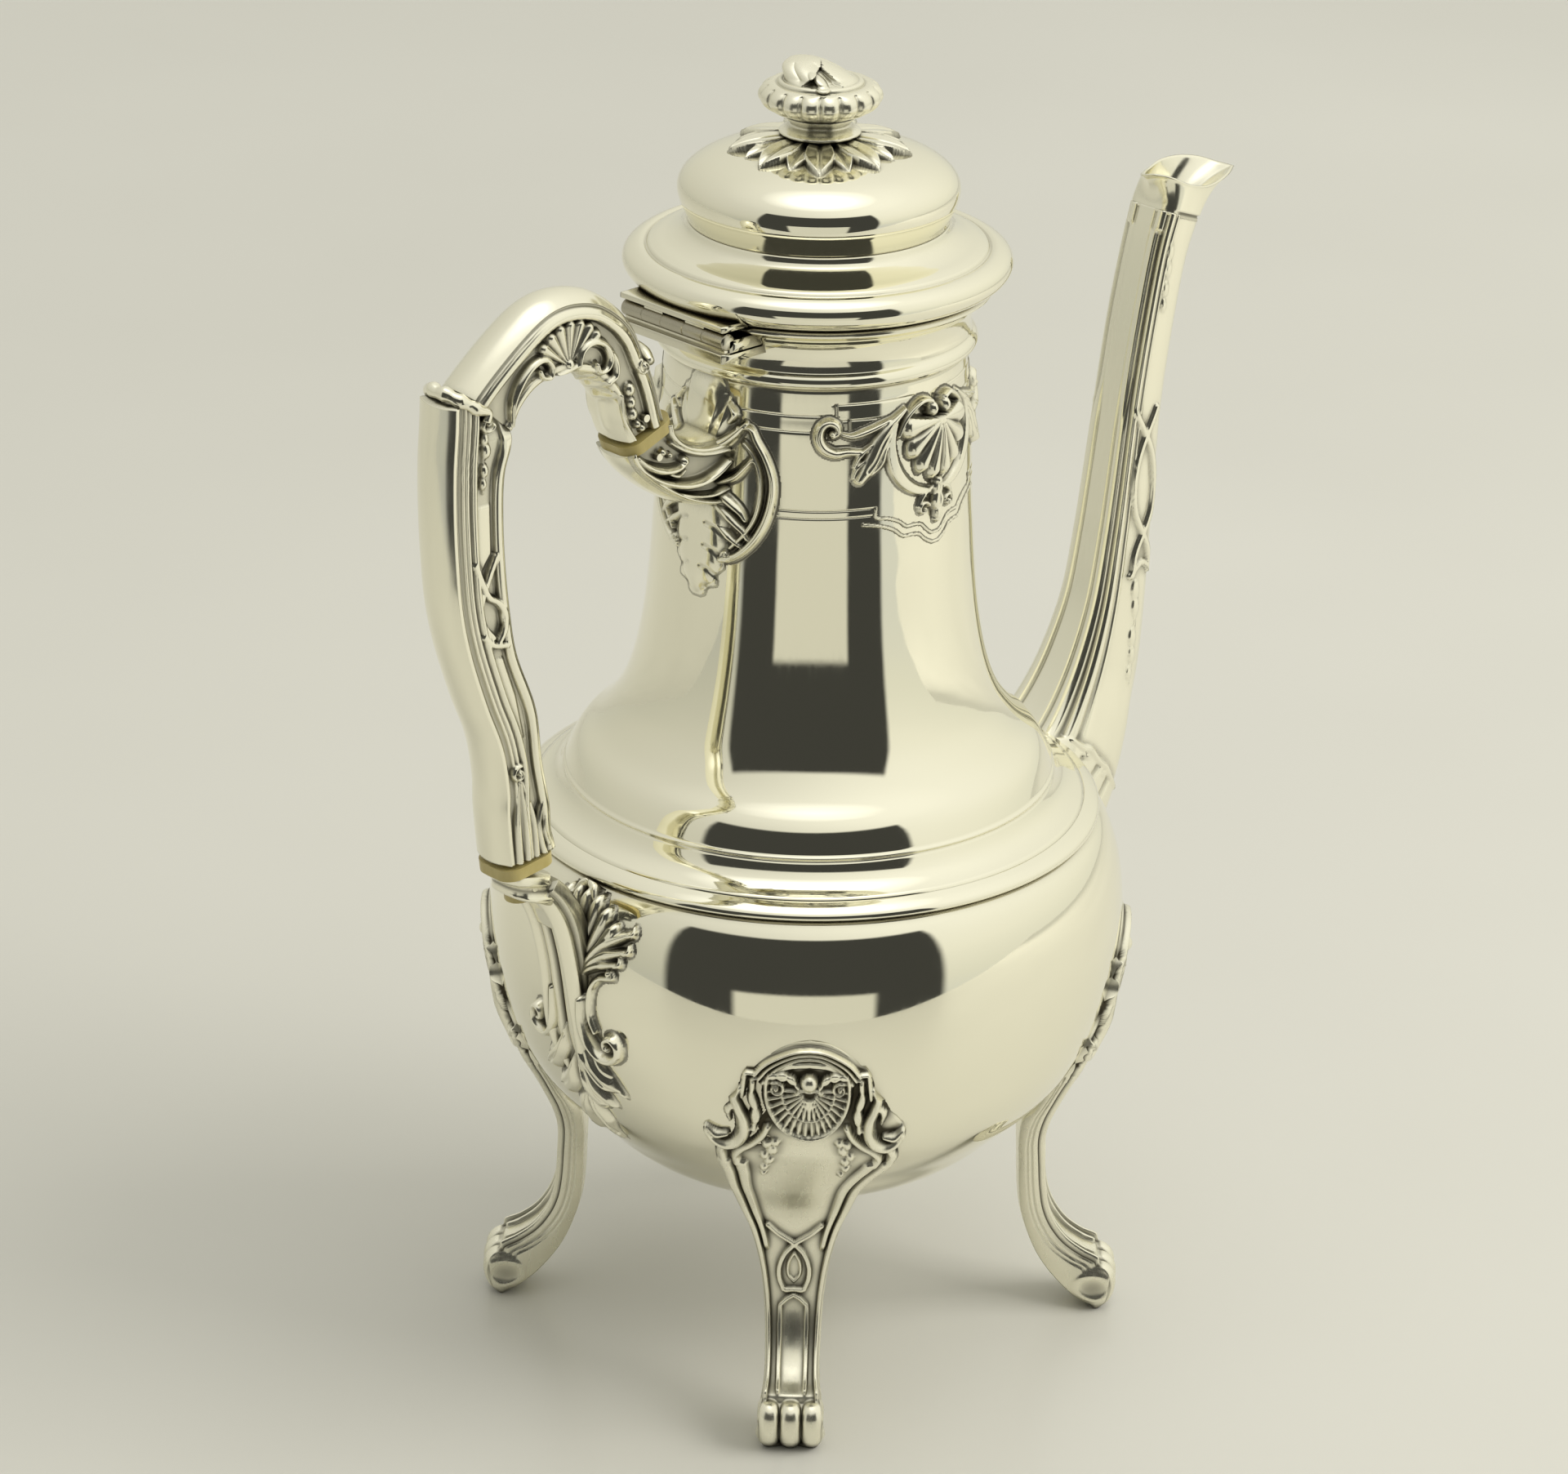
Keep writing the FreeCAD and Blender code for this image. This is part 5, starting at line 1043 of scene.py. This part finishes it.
add(sweep_handle("upper_handle_socket_v", [(47.3, 203.4), (45.6, 200.0), (42.4, 197.0), (38.0, 195.0), (33.4, 194.2), (28.8, 194.0)],
                 [(41.9, 205.9), (41.6, 204.2), (39.6, 201.8), (36.4, 200.2), (33.0, 199.8), (28.0, 200.8)],
                 [(53.0, 201.6), (51.6, 198.8), (48.2, 195.2), (43.2, 191.4), (38.2, 188.6), (34, 187.2), (28, 186.4)],
                 130, arm_profile, arm_decor, 1.3, 1, half=(5.5, 5.6, 6.0, 6.8, 8.0), inner=1.0, shade=(-1.25, 0.55)), "pot", "upper_handle_socket", "cast")


def socket_relief_upper():
    u = np.arange(-19, 20.01, 0.2)
    z = np.arange(166, 212.4, 0.2)
    Zg, U = np.meshgrid(z, u, indexing="ij")
    R = Relief(np.abs(U), Zg)
    # hooded leaf standing above the arm
    R.soft([(0, 212.0), (2.6, 211.8), (4.6, 210.6), (5.4, 208.8), (6.9, 207.6), (7.4, 205.4), (8.3, 203.9), (8.0, 201.0), (6.6, 198.4), (0, 196.4), (-6, 198.4), (-6, 212)], 2.0, 3.6, blur=7)
    R.groove([(5.2, 208.0), (4.4, 204.6), (3.2, 200.4)], 0.9, 0.22)
    R.groove([(7.2, 204.6), (6.0, 202.2), (4.4, 199.6)], 0.8, 0.22)
    R.stroke([(6.2, 207.0), (7.6, 205.0), (6.6, 203.4)], [0.5, 0.9, 0.6], [1.4, 1.8, 1.5])
    # broad soft pendant leaf
    R.soft([(0, 191.0), (6.2, 190.4), (7.3, 187.6), (6.6, 185.6), (7.5, 183.2), (6.4, 180.8), (6.9, 178.2), (5.8, 176.2), (6.1, 174.0), (4.5, 172.2), (4.7, 170.2), (2.5, 169.2), (1.7, 167.5), (0, 167.0), (-3, 168), (-6, 176), (-6, 190.5)], 1.5, 2.6, blur=4)
    for x0, y0, x1, y1 in ((2.6, 187.2, 6.4, 185.5), (2.4, 182.6, 6.0, 180.7), (2.2, 178.0, 5.4, 176.1), (1.6, 173.6, 4.2, 172.1)):
        R.groove([(x0, y0), ((x0 + x1) / 2, (y0 + y1) / 2 + 0.4), (x1, y1)], 0.6, 0.28)
    # leaf lobes that curl against the border
    R.stroke([(3.0, 189.4), (6.4, 188.0), (9.6, 185.9), (10.6, 184.6)], [0.9, 1.4, 1.2, 0.7], [1.4, 1.7, 1.6, 1.3])
    R.stroke([(4.6, 186.4), (7.4, 184.4), (10.4, 182.0), (11.0, 180.9)], [0.9, 1.3, 1.1, 0.7], [1.3, 1.6, 1.5, 1.2])
    R.stroke([(4.8, 182.4), (7.2, 180.6), (9.4, 179.2)], [0.8, 1.1, 0.7], [1.2, 1.4, 1.1])
    # double C-shaped border
    cb = [(8.4, 202.6), (11.0, 202.8), (12.4, 200.6), (14.4, 197.4), (15.7, 193.6), (15.7, 189.4), (14.3, 184.2), (11.6, 179.7), (8.4, 176.7), (5.6, 175.6)]
    R.stroke(cb, [0.7, 0.9, 1.0, 1.1, 1.1, 1.0, 0.8], [1.3, 1.6, 1.7, 1.6, 1.5, 1.2])
    ib = [(9.8, 199.8), (11.6, 198.0), (13.1, 194.8), (13.5, 190.4), (12.6, 185.6), (10.4, 181.6), (7.6, 178.4)]
    R.stroke(ib, [0.5, 0.7, 0.75, 0.7, 0.5], [1.1, 1.3, 1.3, 1.1])
    R.volute((6.7, 176.8), 1.35, 1.0, 0, -1, 0.6, 1.3)
    # scrolls that leave the arm
    R.stroke([(3.0, 198.0), (6.0, 199.6), (8.6, 202.0), (10.0, 203.6)], [1.5, 1.5, 1.2, 0.6], [3.0, 2.5, 1.9, 1.3])
    R.stroke([(5.0, 191.4), (8.2, 193.0), (10.6, 195.6), (11.8, 196.8), (12.8, 196.0)], [0.9, 1.0, 0.8, 0.5], [2.2, 1.8, 1.5, 1.2])
    mask = corner_max(R.H) > -0.5
    H = np.maximum(R.H, 0.03)
    th0 = np.pi + 1.2 / 31
    # cv: patina in the hollows, and painted shade on the low ground at the foot of the relief
    cv = np.maximum(0.85 * R.cavity(4), 0.55 * (R.H < 0.1))
    ob = patch("upper_handle_socket_leafage", on_neck(U, Zg, H, th0), on_neck(U, Zg, np.full(H.shape, -0.8), th0), mask, cv)
    add(ob, "pot", "upper_handle_socket", "cast")


socket_relief_upper()

# lower socket: a moulded cup under the collar of the grip ...
CUP = curve([(77.5, 122.0, 6.25, 5.5), (77.4, 121.2, 6.35, 5.6), (77.2, 120.3, 6.3, 5.6), (76.7, 119.5, 5.5, 5.25), (76.2, 118.5, 5.1, 5.1), (75.9, 117.5, 5.3, 5.3), (75.6, 116.7, 5.6, 5.55), (75.2, 116.1, 5.3, 5.5), (74.0, 115.4, 4.0, 5.3), (72.0, 114.0, 2.6, 5.0), (70.0, 111.4, 2.0, 4.7), (68.4, 107.4, 1.6, 4.2)], n=90)
v = np.linspace(0, 2 * np.pi, 120, endpoint=False)
cx = np.sign(np.cos(v)) * np.abs(np.cos(v)) ** 0.7
cy = np.sign(np.sin(v)) * np.abs(np.sin(v)) ** 0.7
lean = 0.28
G = np.stack([-(CUP[:, :1] + CUP[:, 2:3] * cx), CUP[:, 3:4] * cy * np.ones_like(cx), CUP[:, 1:2] + CUP[:, 2:3] * cx * lean * smoothstep(106, 112, CUP[:, 1:2])], -1)
gc = np.clip(0.75 * np.exp(-((CUP[:, 1:2] - 118.6) / 0.7) ** 2) + 0 * cx, 0, 1)
add(loft("lower_handle_socket_cup", G, gc), "pot", "lower_handle_socket", "cast")
# ... carried by a bracket of two bands that flows down on to the belly
BR = curve([(75.0, 116.4, 5.0), (72.7, 113.6, 5.0), (70.9, 110.4, 5.0), (69.6, 107, 5.0), (68.5, 103, 5.0), (67.6, 99, 5.0), (66.9, 95, 5.1), (66.3, 91, 5.2), (65.7, 87, 5.4), (65.0, 83, 5.4), (63.9, 79, 4.8), (62.2, 75, 3.8), (59.8, 70, 2.4)], n=170)
d = np.gradient(BR[:, :2], axis=0)
d /= np.linalg.norm(d, axis=1, keepdims=True)
bn = np.stack([-d[:, 1], d[:, 0]], 1)
yq = np.linspace(-1, 1, 120)
hw = BR[:, 2:3]
ym = np.abs(yq[None] * hw)
o = -0.95 * np.exp(-(ym / 0.75) ** 2) + 1.15 * np.clip(1 - ((ym - hw + 1.25) / 1.25) ** 2, 0, 1) - 0.3 * np.exp(-((ym - hw + 2.6) / 0.35) ** 2)
fs = BR[:, :1] + o * bn[:, :1]
fz = BR[:, 1:2] + o * bn[:, 1:]
dep = np.interp(np.linspace(0, 1, len(BR)), [0, 0.25, 0.6, 1], [5.0, 6.0, 4.6, 3.0])[:, None]
t_ = np.linspace(0, 1, 14)[None, 1:]
bulge = 0.5 * np.sin(np.pi * t_) - 0.45 * np.exp(-((t_ - 0.35) / 0.08) ** 2)
ss, sz = BR[:, :1] - dep * t_ * bn[:, :1], BR[:, 1:2] - dep * t_ * bn[:, 1:]
G = np.concatenate([np.stack([-fs, yq[None] * hw, fz], -1), np.stack([-ss, hw + bulge, sz], -1), np.stack([-ss, -(hw + bulge), sz], -1)[:, ::-1]], 1)
# gc: patina in the grooves of the bands; on the sides, painted shade that deepens towards the belly
gc = np.concatenate([np.clip(-o * 1.1 + 0.0, 0, 1), np.clip(0.55 * np.exp(-((t_ - 0.35) / 0.1) ** 2) + 0.5 * t_ + 0 * ss, 0, 1), np.clip(0.55 * np.exp(-((t_ - 0.35) / 0.1) ** 2) + 0.5 * t_ + 0 * ss, 0, 1)[:, ::-1]], 1)
add(loft("lower_handle_socket_bracket", G, gc), "pot", "lower_handle_socket", "cast")


def on_belly(U, Zv, Hh, th0):
    r = belly_r(Zv)
    e = 0.4
    sl = (belly_r(Zv + e) - belly_r(Zv - e)) / (2 * e)
    n = np.sqrt(1 + sl * sl)
    th = th0 + U / 62.0
    rr = r + Hh / n
    return np.stack([rr * np.cos(th), rr * np.sin(th), Zv - Hh * sl / n], -1)


def socket_relief_lower():
    u = np.arange(-20, 20.01, 0.22)
    z = np.arange(55, 113.2, 0.22)
    Zg, U = np.meshgrid(z, u, indexing="ij")
    R = Relief(np.where(U < 0, -1.4 * U, 1.2 * U), Zg)
    # cupped acanthus beside the bracket: broad scalloped head, narrower fingers below
    R.fan((1.4, 95.6), 42, 96, 17.4, 4, 2.8, r0=4.0, dish=0.12, scallop=0.13)
    for (tx, ty), wd in (((16.2, 107.6), 1.9), ((15.7, 104.2), 1.6), ((13.7, 101.4), 1.4)):
        ox, oy = 3.6, 96.0
        dx, dy = tx - ox, ty - oy
        R.stroke([(ox, oy), (ox + 0.14 * dx, oy + 0.36 * dy), (ox + 0.46 * dx, oy + 0.72 * dy), (tx, ty)], [0.7, 1.3, wd, 0.8], [1.2, 1.8, 2.3, 1.8])
        R.stroke([(tx - 0.4, ty - 0.6), (tx + 0.9, ty + 0.2), (tx + 0.7, ty + 1.3)], [0.6, 0.85, 0.5], [1.7, 2.0, 1.5])
    R.stroke([(0.5, 113.0), (2.4, 112.4), (4.0, 110.4)], [1.3, 1.2, 0.6], [2.4, 2.2, 1.4])
    # curling stem
    R.stroke([(12.4, 99.6), (12.9, 98.4), (11.4, 98.0), (9.2, 97.4), (7.2, 95.2), (6.4, 92.0), (6.6, 88.6), (8.0, 85.6)], [0.5, 0.8, 0.9, 1.0, 0.9, 0.8], [1.3, 1.7, 1.7, 1.6, 1.5])
    R.bead((11.6, 99.0), 0.9, 1.6)
    # ridge that ends in a volute
    R.stroke([(4.6, 92), (4.9, 87), (6.4, 83.2), (9.2, 80.8), (12.2, 80.6), (14.4, 82.2), (14.6, 84.4), (13.0, 85.6), (11.2, 84.8), (11.4, 83.4), (12.5, 83.3)], [1.4, 1.5, 1.5, 1.4, 1.2, 0.8], [2.8, 2.8, 2.6, 2.5, 2.3])
    # broad leaves that run out below it
    R.plate([(0, 68), (3.0, 67.4), (5.2, 65.8), (6.6, 63.0), (5.6, 60.4), (5.0, 56.6), (2.8, 58.4), (1.2, 61.5), (0, 64)], 1.4, 1.8, smooth=True)
    R.plate([(0.5, 78), (4.4, 74.2), (7.2, 71.9), (9.6, 70.4), (10.8, 67.9), (8.4, 67.6), (6.2, 66.4), (3.6, 67.4), (0.5, 71)], 1.9, 2.0, smooth=True)
    R.plate([(1.5, 85.5), (5.2, 81.0), (8.4, 78.9), (10.8, 77.0), (12.6, 75.0), (14.6, 71.4), (11.8, 72.2), (9.2, 71.7), (6.8, 72.6), (4.2, 75.0), (1.5, 79)], 2.4, 2.2, smooth=True)
    R.groove([(2.6, 82.2), (5.8, 77.6), (9.4, 74.6), (12.6, 72.8)], 0.6, 0.45)
    R.groove([(6.0, 79.6), (8.6, 77.0), (11.2, 75.6)], 0.5, 0.4)
    R.groove([(1.8, 75.4), (4.6, 71.2), (8.6, 68.8)], 0.55, 0.4)
    R.groove([(1.4, 67), (3.4, 63.4), (4.6, 59)], 0.5, 0.35)
    mask = corner_max(R.H) > -0.5
    H = np.maximum(R.H, 0.03)
    th0 = np.pi + 1.0 / 62
    # cv: patina in the hollows, and painted shade on the low ground at the foot of the relief
    cv = np.maximum(0.7 * R.cavity(4), 0.5 * (R.H < 0.1))
    ob = patch("lower_handle_socket_leafage", on_belly(U, Zg, H, th0), on_belly(U, Zg, np.full(H.shape, -0.8), th0), mask, cv)
    add(ob, "pot", "lower_handle_socket", "cast")


socket_relief_lower()


# ------------------------------------------------------------------ materials
def node(nt, kind, **kw):
    n = nt.nodes.new(kind)
    for k, v in kw.items():
        setattr(n, k, v)
    return n


def silver(name, tint, dark, r0, r1, wave, ao_dist, power):
    m = bpy.data.materials.new(name)
    m.use_nodes = True
    nt = m.node_tree
    nt.nodes.clear()
    outp = node(nt, "ShaderNodeOutputMaterial")
    b = node(nt, "ShaderNodeBsdfPrincipled")
    b.inputs["Metallic"].default_value = 1.0
    nt.links.new(b.outputs[0], outp.inputs[0])
    tc = node(nt, "ShaderNodeTexCoord")
    big = node(nt, "ShaderNodeTexNoise")
    big.inputs["Scale"].default_value = 38
    big.inputs["Detail"].default_value = 5
    fine = node(nt, "ShaderNodeTexNoise")
    fine.inputs["Scale"].default_value = 900
    fine.inputs["Detail"].default_value = 4
    mp = node(nt, "ShaderNodeMapping")
    mp.inputs["Scale"].default_value = (1.0, 1.0, 0.12)
    nt.links.new(tc.outputs["Object"], big.inputs["Vector"])
    nt.links.new(tc.outputs["Object"], mp.inputs["Vector"])
    nt.links.new(mp.outputs[0], fine.inputs["Vector"])
    # painted shade: the ambient occlusion term darkens the base colour in creases and round the castings
    ao = node(nt, "ShaderNodeAmbientOcclusion", samples=6)
    ao.inputs["Distance"].default_value = ao_dist
    at = node(nt, "ShaderNodeAttribute", attribute_name="cav")
    inv = node(nt, "ShaderNodeMath", operation="SUBTRACT")
    inv.inputs[0].default_value = 1.0
    nt.links.new(at.outputs["Fac"], inv.inputs[1])
    ao_shade = node(nt, "ShaderNodeMath", operation="POWER")
    ao_shade.inputs[1].default_value = power
    nt.links.new(ao.outputs["AO"], ao_shade.inputs[0])
    patina_ao_shade = node(nt, "ShaderNodeMath", operation="MULTIPLY")
    nt.links.new(ao_shade.outputs[0], patina_ao_shade.inputs[0])
    nt.links.new(inv.outputs[0], patina_ao_shade.inputs[1])
    # patina in the hollows from the cav attribute, multiplied by painted shade from the AO node in creases and round
    # the castings; uneven
    jit = node(nt, "ShaderNodeMath", operation="MULTIPLY_ADD")
    jit.inputs[1].default_value = 0.22
    nt.links.new(big.outputs["Fac"], jit.inputs[0])
    nt.links.new(patina_ao_shade.outputs[0], jit.inputs[2])
    cr = node(nt, "ShaderNodeValToRGB")
    e = cr.color_ramp.elements
    e[0].position, e[0].color = 0.12, (*dark, 1)
    e[1].position, e[1].color = 0.92, (*tint, 1)
    mid = cr.color_ramp.elements.new(0.5)
    mid.color = tuple(0.55 * a + 0.45 * c for a, c in zip(tint, dark)) + (1,)
    nt.links.new(jit.outputs[0], cr.inputs[0])
    nt.links.new(cr.outputs[0], b.inputs["Base Color"])
    rg = node(nt, "ShaderNodeMapRange")
    rg.inputs["From Min"].default_value = 0.3
    rg.inputs["From Max"].default_value = 0.7
    rg.inputs["To Min"].default_value = r0
    rg.inputs["To Max"].default_value = r1
    nt.links.new(fine.outputs["Fac"], rg.inputs["Value"])
    ra = node(nt, "ShaderNodeMath", operation="MULTIPLY_ADD")
    ra.inputs[1].default_value = -0.28
    nt.links.new(patina_ao_shade.outputs[0], ra.inputs[0])
    rb = node(nt, "ShaderNodeMath", operation="ADD")
    rb.inputs[1].default_value = 0.28
    nt.links.new(rg.outputs[0], ra.inputs[2])
    nt.links.new(ra.outputs[0], rb.inputs[0])
    nt.links.new(rb.outputs[0], b.inputs["Roughness"])
    bp_ = node(nt, "ShaderNodeBump")
    bp_.inputs["Strength"].default_value = wave
    bp_.inputs["Distance"].default_value = 0.0004
    nt.links.new(big.outputs["Fac"], bp_.inputs["Height"])
    nt.links.new(bp_.outputs[0], b.inputs["Normal"])
    return m


def ivory(name):
    m = bpy.data.materials.new(name)
    m.use_nodes = True
    nt = m.node_tree
    nt.nodes.clear()
    outp = node(nt, "ShaderNodeOutputMaterial")
    b = node(nt, "ShaderNodeBsdfPrincipled")
    nt.links.new(b.outputs[0], outp.inputs[0])
    tc = node(nt, "ShaderNodeTexCoord")
    mp = node(nt, "ShaderNodeMapping")
    mp.inputs["Scale"].default_value = (1.0, 1.0, 0.35)
    nt.links.new(tc.outputs["Object"], mp.inputs["Vector"])
    w = node(nt, "ShaderNodeTexNoise")
    w.inputs["Scale"].default_value = 260
    w.inputs["Detail"].default_value = 4
    nt.links.new(mp.outputs[0], w.inputs["Vector"])
    cr = node(nt, "ShaderNodeValToRGB")
    e = cr.color_ramp.elements
    e[0].position, e[0].color = 0.25, (0.44, 0.36, 0.12, 1)
    e[1].position, e[1].color = 0.75, (0.62, 0.53, 0.24, 1)
    nt.links.new(w.outputs["Fac"], cr.inputs[0])
    nt.links.new(cr.outputs[0], b.inputs["Base Color"])
    b.inputs["Roughness"].default_value = 0.33
    b.inputs["Subsurface Weight"].default_value = 0.15
    b.inputs["Subsurface Radius"].default_value = (0.002, 0.0015, 0.0008)
    return m


# each finish reaches its dark colour through patina in the hollows and through the painted AO shade
MAT = {
    "silver": silver("polished_silver", (0.95, 0.925, 0.775), (0.15, 0.125, 0.08), 0.03, 0.065, 0.05, 0.0035, 1.2),
    "cast": silver("cast_silver", (0.95, 0.925, 0.775), (0.060, 0.052, 0.034), 0.12, 0.19, 0.04, 0.0028, 1.3),
    "satin": silver("satin_silver", (0.95, 0.925, 0.775), (0.060, 0.052, 0.034), 0.22, 0.29, 0.04, 0.0028, 1.3),
    "ivory": ivory("old_ivory"),
}
for ob, mat in pieces:
    ob.data.materials.clear()
    ob.data.materials.append(MAT[mat])
CARRY = {"upper_insulator": "ivory", "lower_insulator": "ivory", "upper_handle_pins": "cast", "lower_handle_pins": "cast", 
         "lid_bezel": "silver", "finial_stud": "silver", "finial_nut": "silver", "finial_washer": "silver"}
for n, mat in CARRY.items():
    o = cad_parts[n]
    o.data.materials.clear()
    o.data.materials.append(MAT[mat])


# ------------------------------------------------------------------ stage
def floor():
    m = bpy.data.materials.new("pale_floor")
    m.use_nodes = True
    nt = m.node_tree
    b = nt.nodes["Principled BSDF"]
    tc = node(nt, "ShaderNodeTexCoord")
    nz = node(nt, "ShaderNodeTexNoise")
    nz.inputs["Scale"].default_value = 3
    nz.inputs["Detail"].default_value = 3
    nt.links.new(tc.outputs["Object"], nz.inputs["Vector"])
    cr = node(nt, "ShaderNodeValToRGB")
    cr.color_ramp.elements[0].position, cr.color_ramp.elements[0].color = 0.3, (0.60, 0.595, 0.555, 1)
    cr.color_ramp.elements[1].position, cr.color_ramp.elements[1].color = 0.7, (0.64, 0.635, 0.595, 1)
    nt.links.new(nz.outputs["Fac"], cr.inputs[0])
    nt.links.new(cr.outputs[0], b.inputs["Base Color"])
    b.inputs["Roughness"].default_value = 0.32
    a = math.radians(225.9)
    fwd, sid = np.array([math.cos(a), math.sin(a)]), np.array([-math.sin(a), math.cos(a)])
    # runs far to the sides and behind; ends short in front
    prof = [(0.33, 0.0), (-0.4, 0.0), (-1.2, 0.0), (-3.0, 0.0)]
    V, Q = [], []
    for i, (x, z) in enumerate(prof):
        for y in (-4.0, 4.0):
            p = fwd * x + sid * y
            V.append((p[0], p[1], z - 0.0001 if z == 0 else z))
    for i in range(len(prof) - 1):
        Q.append((2 * i, 2 * i + 1, 2 * i + 3, 2 * i + 2))
    me = bpy.data.meshes.new("floor")
    me.from_pydata(V, [], Q)
    me.materials.append(m)
    ob = bpy.data.objects.new("floor", me)
    bpy.context.scene.collection.objects.link(ob)
    me.polygons.foreach_set("use_smooth", np.ones(len(me.polygons), bool))


floor()

# light tent: cream all round, with a dark opening on the viewer's side and a lighter card in its middle
w = bpy.data.worlds.new("tent")
bpy.context.scene.world = w
w.use_nodes = True
nt = w.node_tree
nt.nodes.clear()
wo = node(nt, "ShaderNodeOutputWorld")
bg = node(nt, "ShaderNodeBackground")
nt.links.new(bg.outputs[0], wo.inputs[0])
tc = node(nt, "ShaderNodeTexCoord")
rot = node(nt, "ShaderNodeVectorRotate", rotation_type="Z_AXIS")
rot.inputs["Angle"].default_value = math.radians(-225.9)
nt.links.new(tc.outputs["Generated"], rot.inputs["Vector"])
sx = node(nt, "ShaderNodeSeparateXYZ")
nt.links.new(rot.outputs[0], sx.inputs[0])
az = node(nt, "ShaderNodeMath", operation="ARCTAN2")
nt.links.new(sx.outputs["Y"], az.inputs[0])
nt.links.new(sx.outputs["X"], az.inputs[1])
aa = node(nt, "ShaderNodeMath", operation="ABSOLUTE")
nt.links.new(az.outputs[0], aa.inputs[0])
el = node(nt, "ShaderNodeMath", operation="ARCSINE")
nt.links.new(sx.outputs["Z"], el.inputs[0])


def step(src, lo, hi, up=True):
    r = node(nt, "ShaderNodeMapRange", interpolation_type="SMOOTHSTEP")
    r.inputs["From Min"].default_value = math.radians(lo)
    r.inputs["From Max"].default_value = math.radians(hi)
    r.inputs["To Min"].default_value = 0.0 if up else 1.0
    r.inputs["To Max"].default_value = 1.0 if up else 0.0
    nt.links.new(src.outputs[0], r.inputs["Value"])
    return r


def times(a, b):
    r = node(nt, "ShaderNodeMath", operation="MULTIPLY")
    nt.links.new(a.outputs[0], r.inputs[0])
    nt.links.new(b.outputs[0], r.inputs[1])
    return r


def over(below, fac, col):
    r = node(nt, "ShaderNodeMix", data_type="RGBA")
    nt.links.new(fac.outputs[0], r.inputs["Factor"])
    nt.links.new(below.outputs["Color"] if "Color" in below.outputs else below.outputs[2], r.inputs[6])
    r.inputs[7].default_value = (*col, 1)
    return r


hz = node(nt, "ShaderNodeMapRange")
hz.inputs["From Min"].default_value = -1.0
nt.links.new(sx.outputs["Z"], hz.inputs["Value"])
cr = node(nt, "ShaderNodeValToRGB")
e = cr.color_ramp.elements
e[0].position, e[0].color = 0.25, (0.42, 0.43, 0.42, 1)
e[1].position, e[1].color = 1.0, (1.55, 1.54, 1.46, 1)
for at_, col in ((0.45, (0.54, 0.535, 0.46)), (0.60, (0.62, 0.61, 0.53)), (0.85, (0.69, 0.68, 0.61)), (0.95, (0.76, 0.75, 0.68)), (0.975, (1.0, 0.99, 0.92))):
    x = e.new(at_)
    x.color = (*col, 1)
nt.links.new(hz.outputs[0], cr.inputs[0])
side = node(nt, "ShaderNodeMapRange", interpolation_type="SMOOTHSTEP")
side.inputs["From Min"].default_value = -0.95
side.inputs["From Max"].default_value = 0.98
side.inputs["To Min"].default_value = 0.95
side.inputs["To Max"].default_value = 1.40
nt.links.new(sx.outputs["Y"], side.inputs["Value"])
lit = node(nt, "ShaderNodeMix", data_type="RGBA", blend_type="MULTIPLY")
lit.inputs["Factor"].default_value = 1.0
nt.links.new(cr.outputs["Color"], lit.inputs[6])
nt.links.new(side.outputs[0], lit.inputs[7])
dark = times(step(aa, 47.5, 51, False), step(el, 38, 42, False))
c1 = over(lit, dark, (0.050, 0.050, 0.045))
card = times(step(aa, 23, 26, False), step(el, -9, -7, False))
c2 = over(c1, card, (0.66, 0.645, 0.55))
nt.links.new(c2.outputs[2], bg.inputs["Color"])
bg.inputs["Strength"].default_value = 1.0

lt = bpy.data.lights.new("softbox", "AREA")
lt.shape = "RECTANGLE"
lt.size, lt.size_y = 1.1, 0.8
lt.energy = 16
lt.color = (1.0, 0.97, 0.9)
lo = bpy.data.objects.new("softbox", lt)
bpy.context.scene.collection.objects.link(lo)
lo.location = (0.80, -1.04, 1.15)
lo.visible_glossy = False
d = Vector((0, 0, 0.12)) - lo.location
lo.rotation_euler = d.to_track_quat("-Z", "Y").to_euler()

# camera
cam = bpy.data.cameras.new("view")
cam.lens = 112.5
cam.sensor_width = 36
cam.sensor_fit = "HORIZONTAL"
cam.dof.use_dof = False
co = bpy.data.objects.new("view", cam)
bpy.context.scene.collection.objects.link(co)
fw, up = Vector((0.63431, 0.66088, -0.40110)).normalized(), Vector((0.26620, 0.30039, 0.91592)).normalized()
rt = fw.cross(up).normalized()
up = rt.cross(fw)
co.matrix_world = Matrix(((rt.x, up.x, -fw.x, -0.62825), (rt.y, up.y, -fw.y, -0.64731), (rt.z, up.z, -fw.z, 0.52194), (0, 0, 0, 1)))
bpy.context.scene.camera = co
bpy.context.scene.view_settings.view_transform = "Standard"
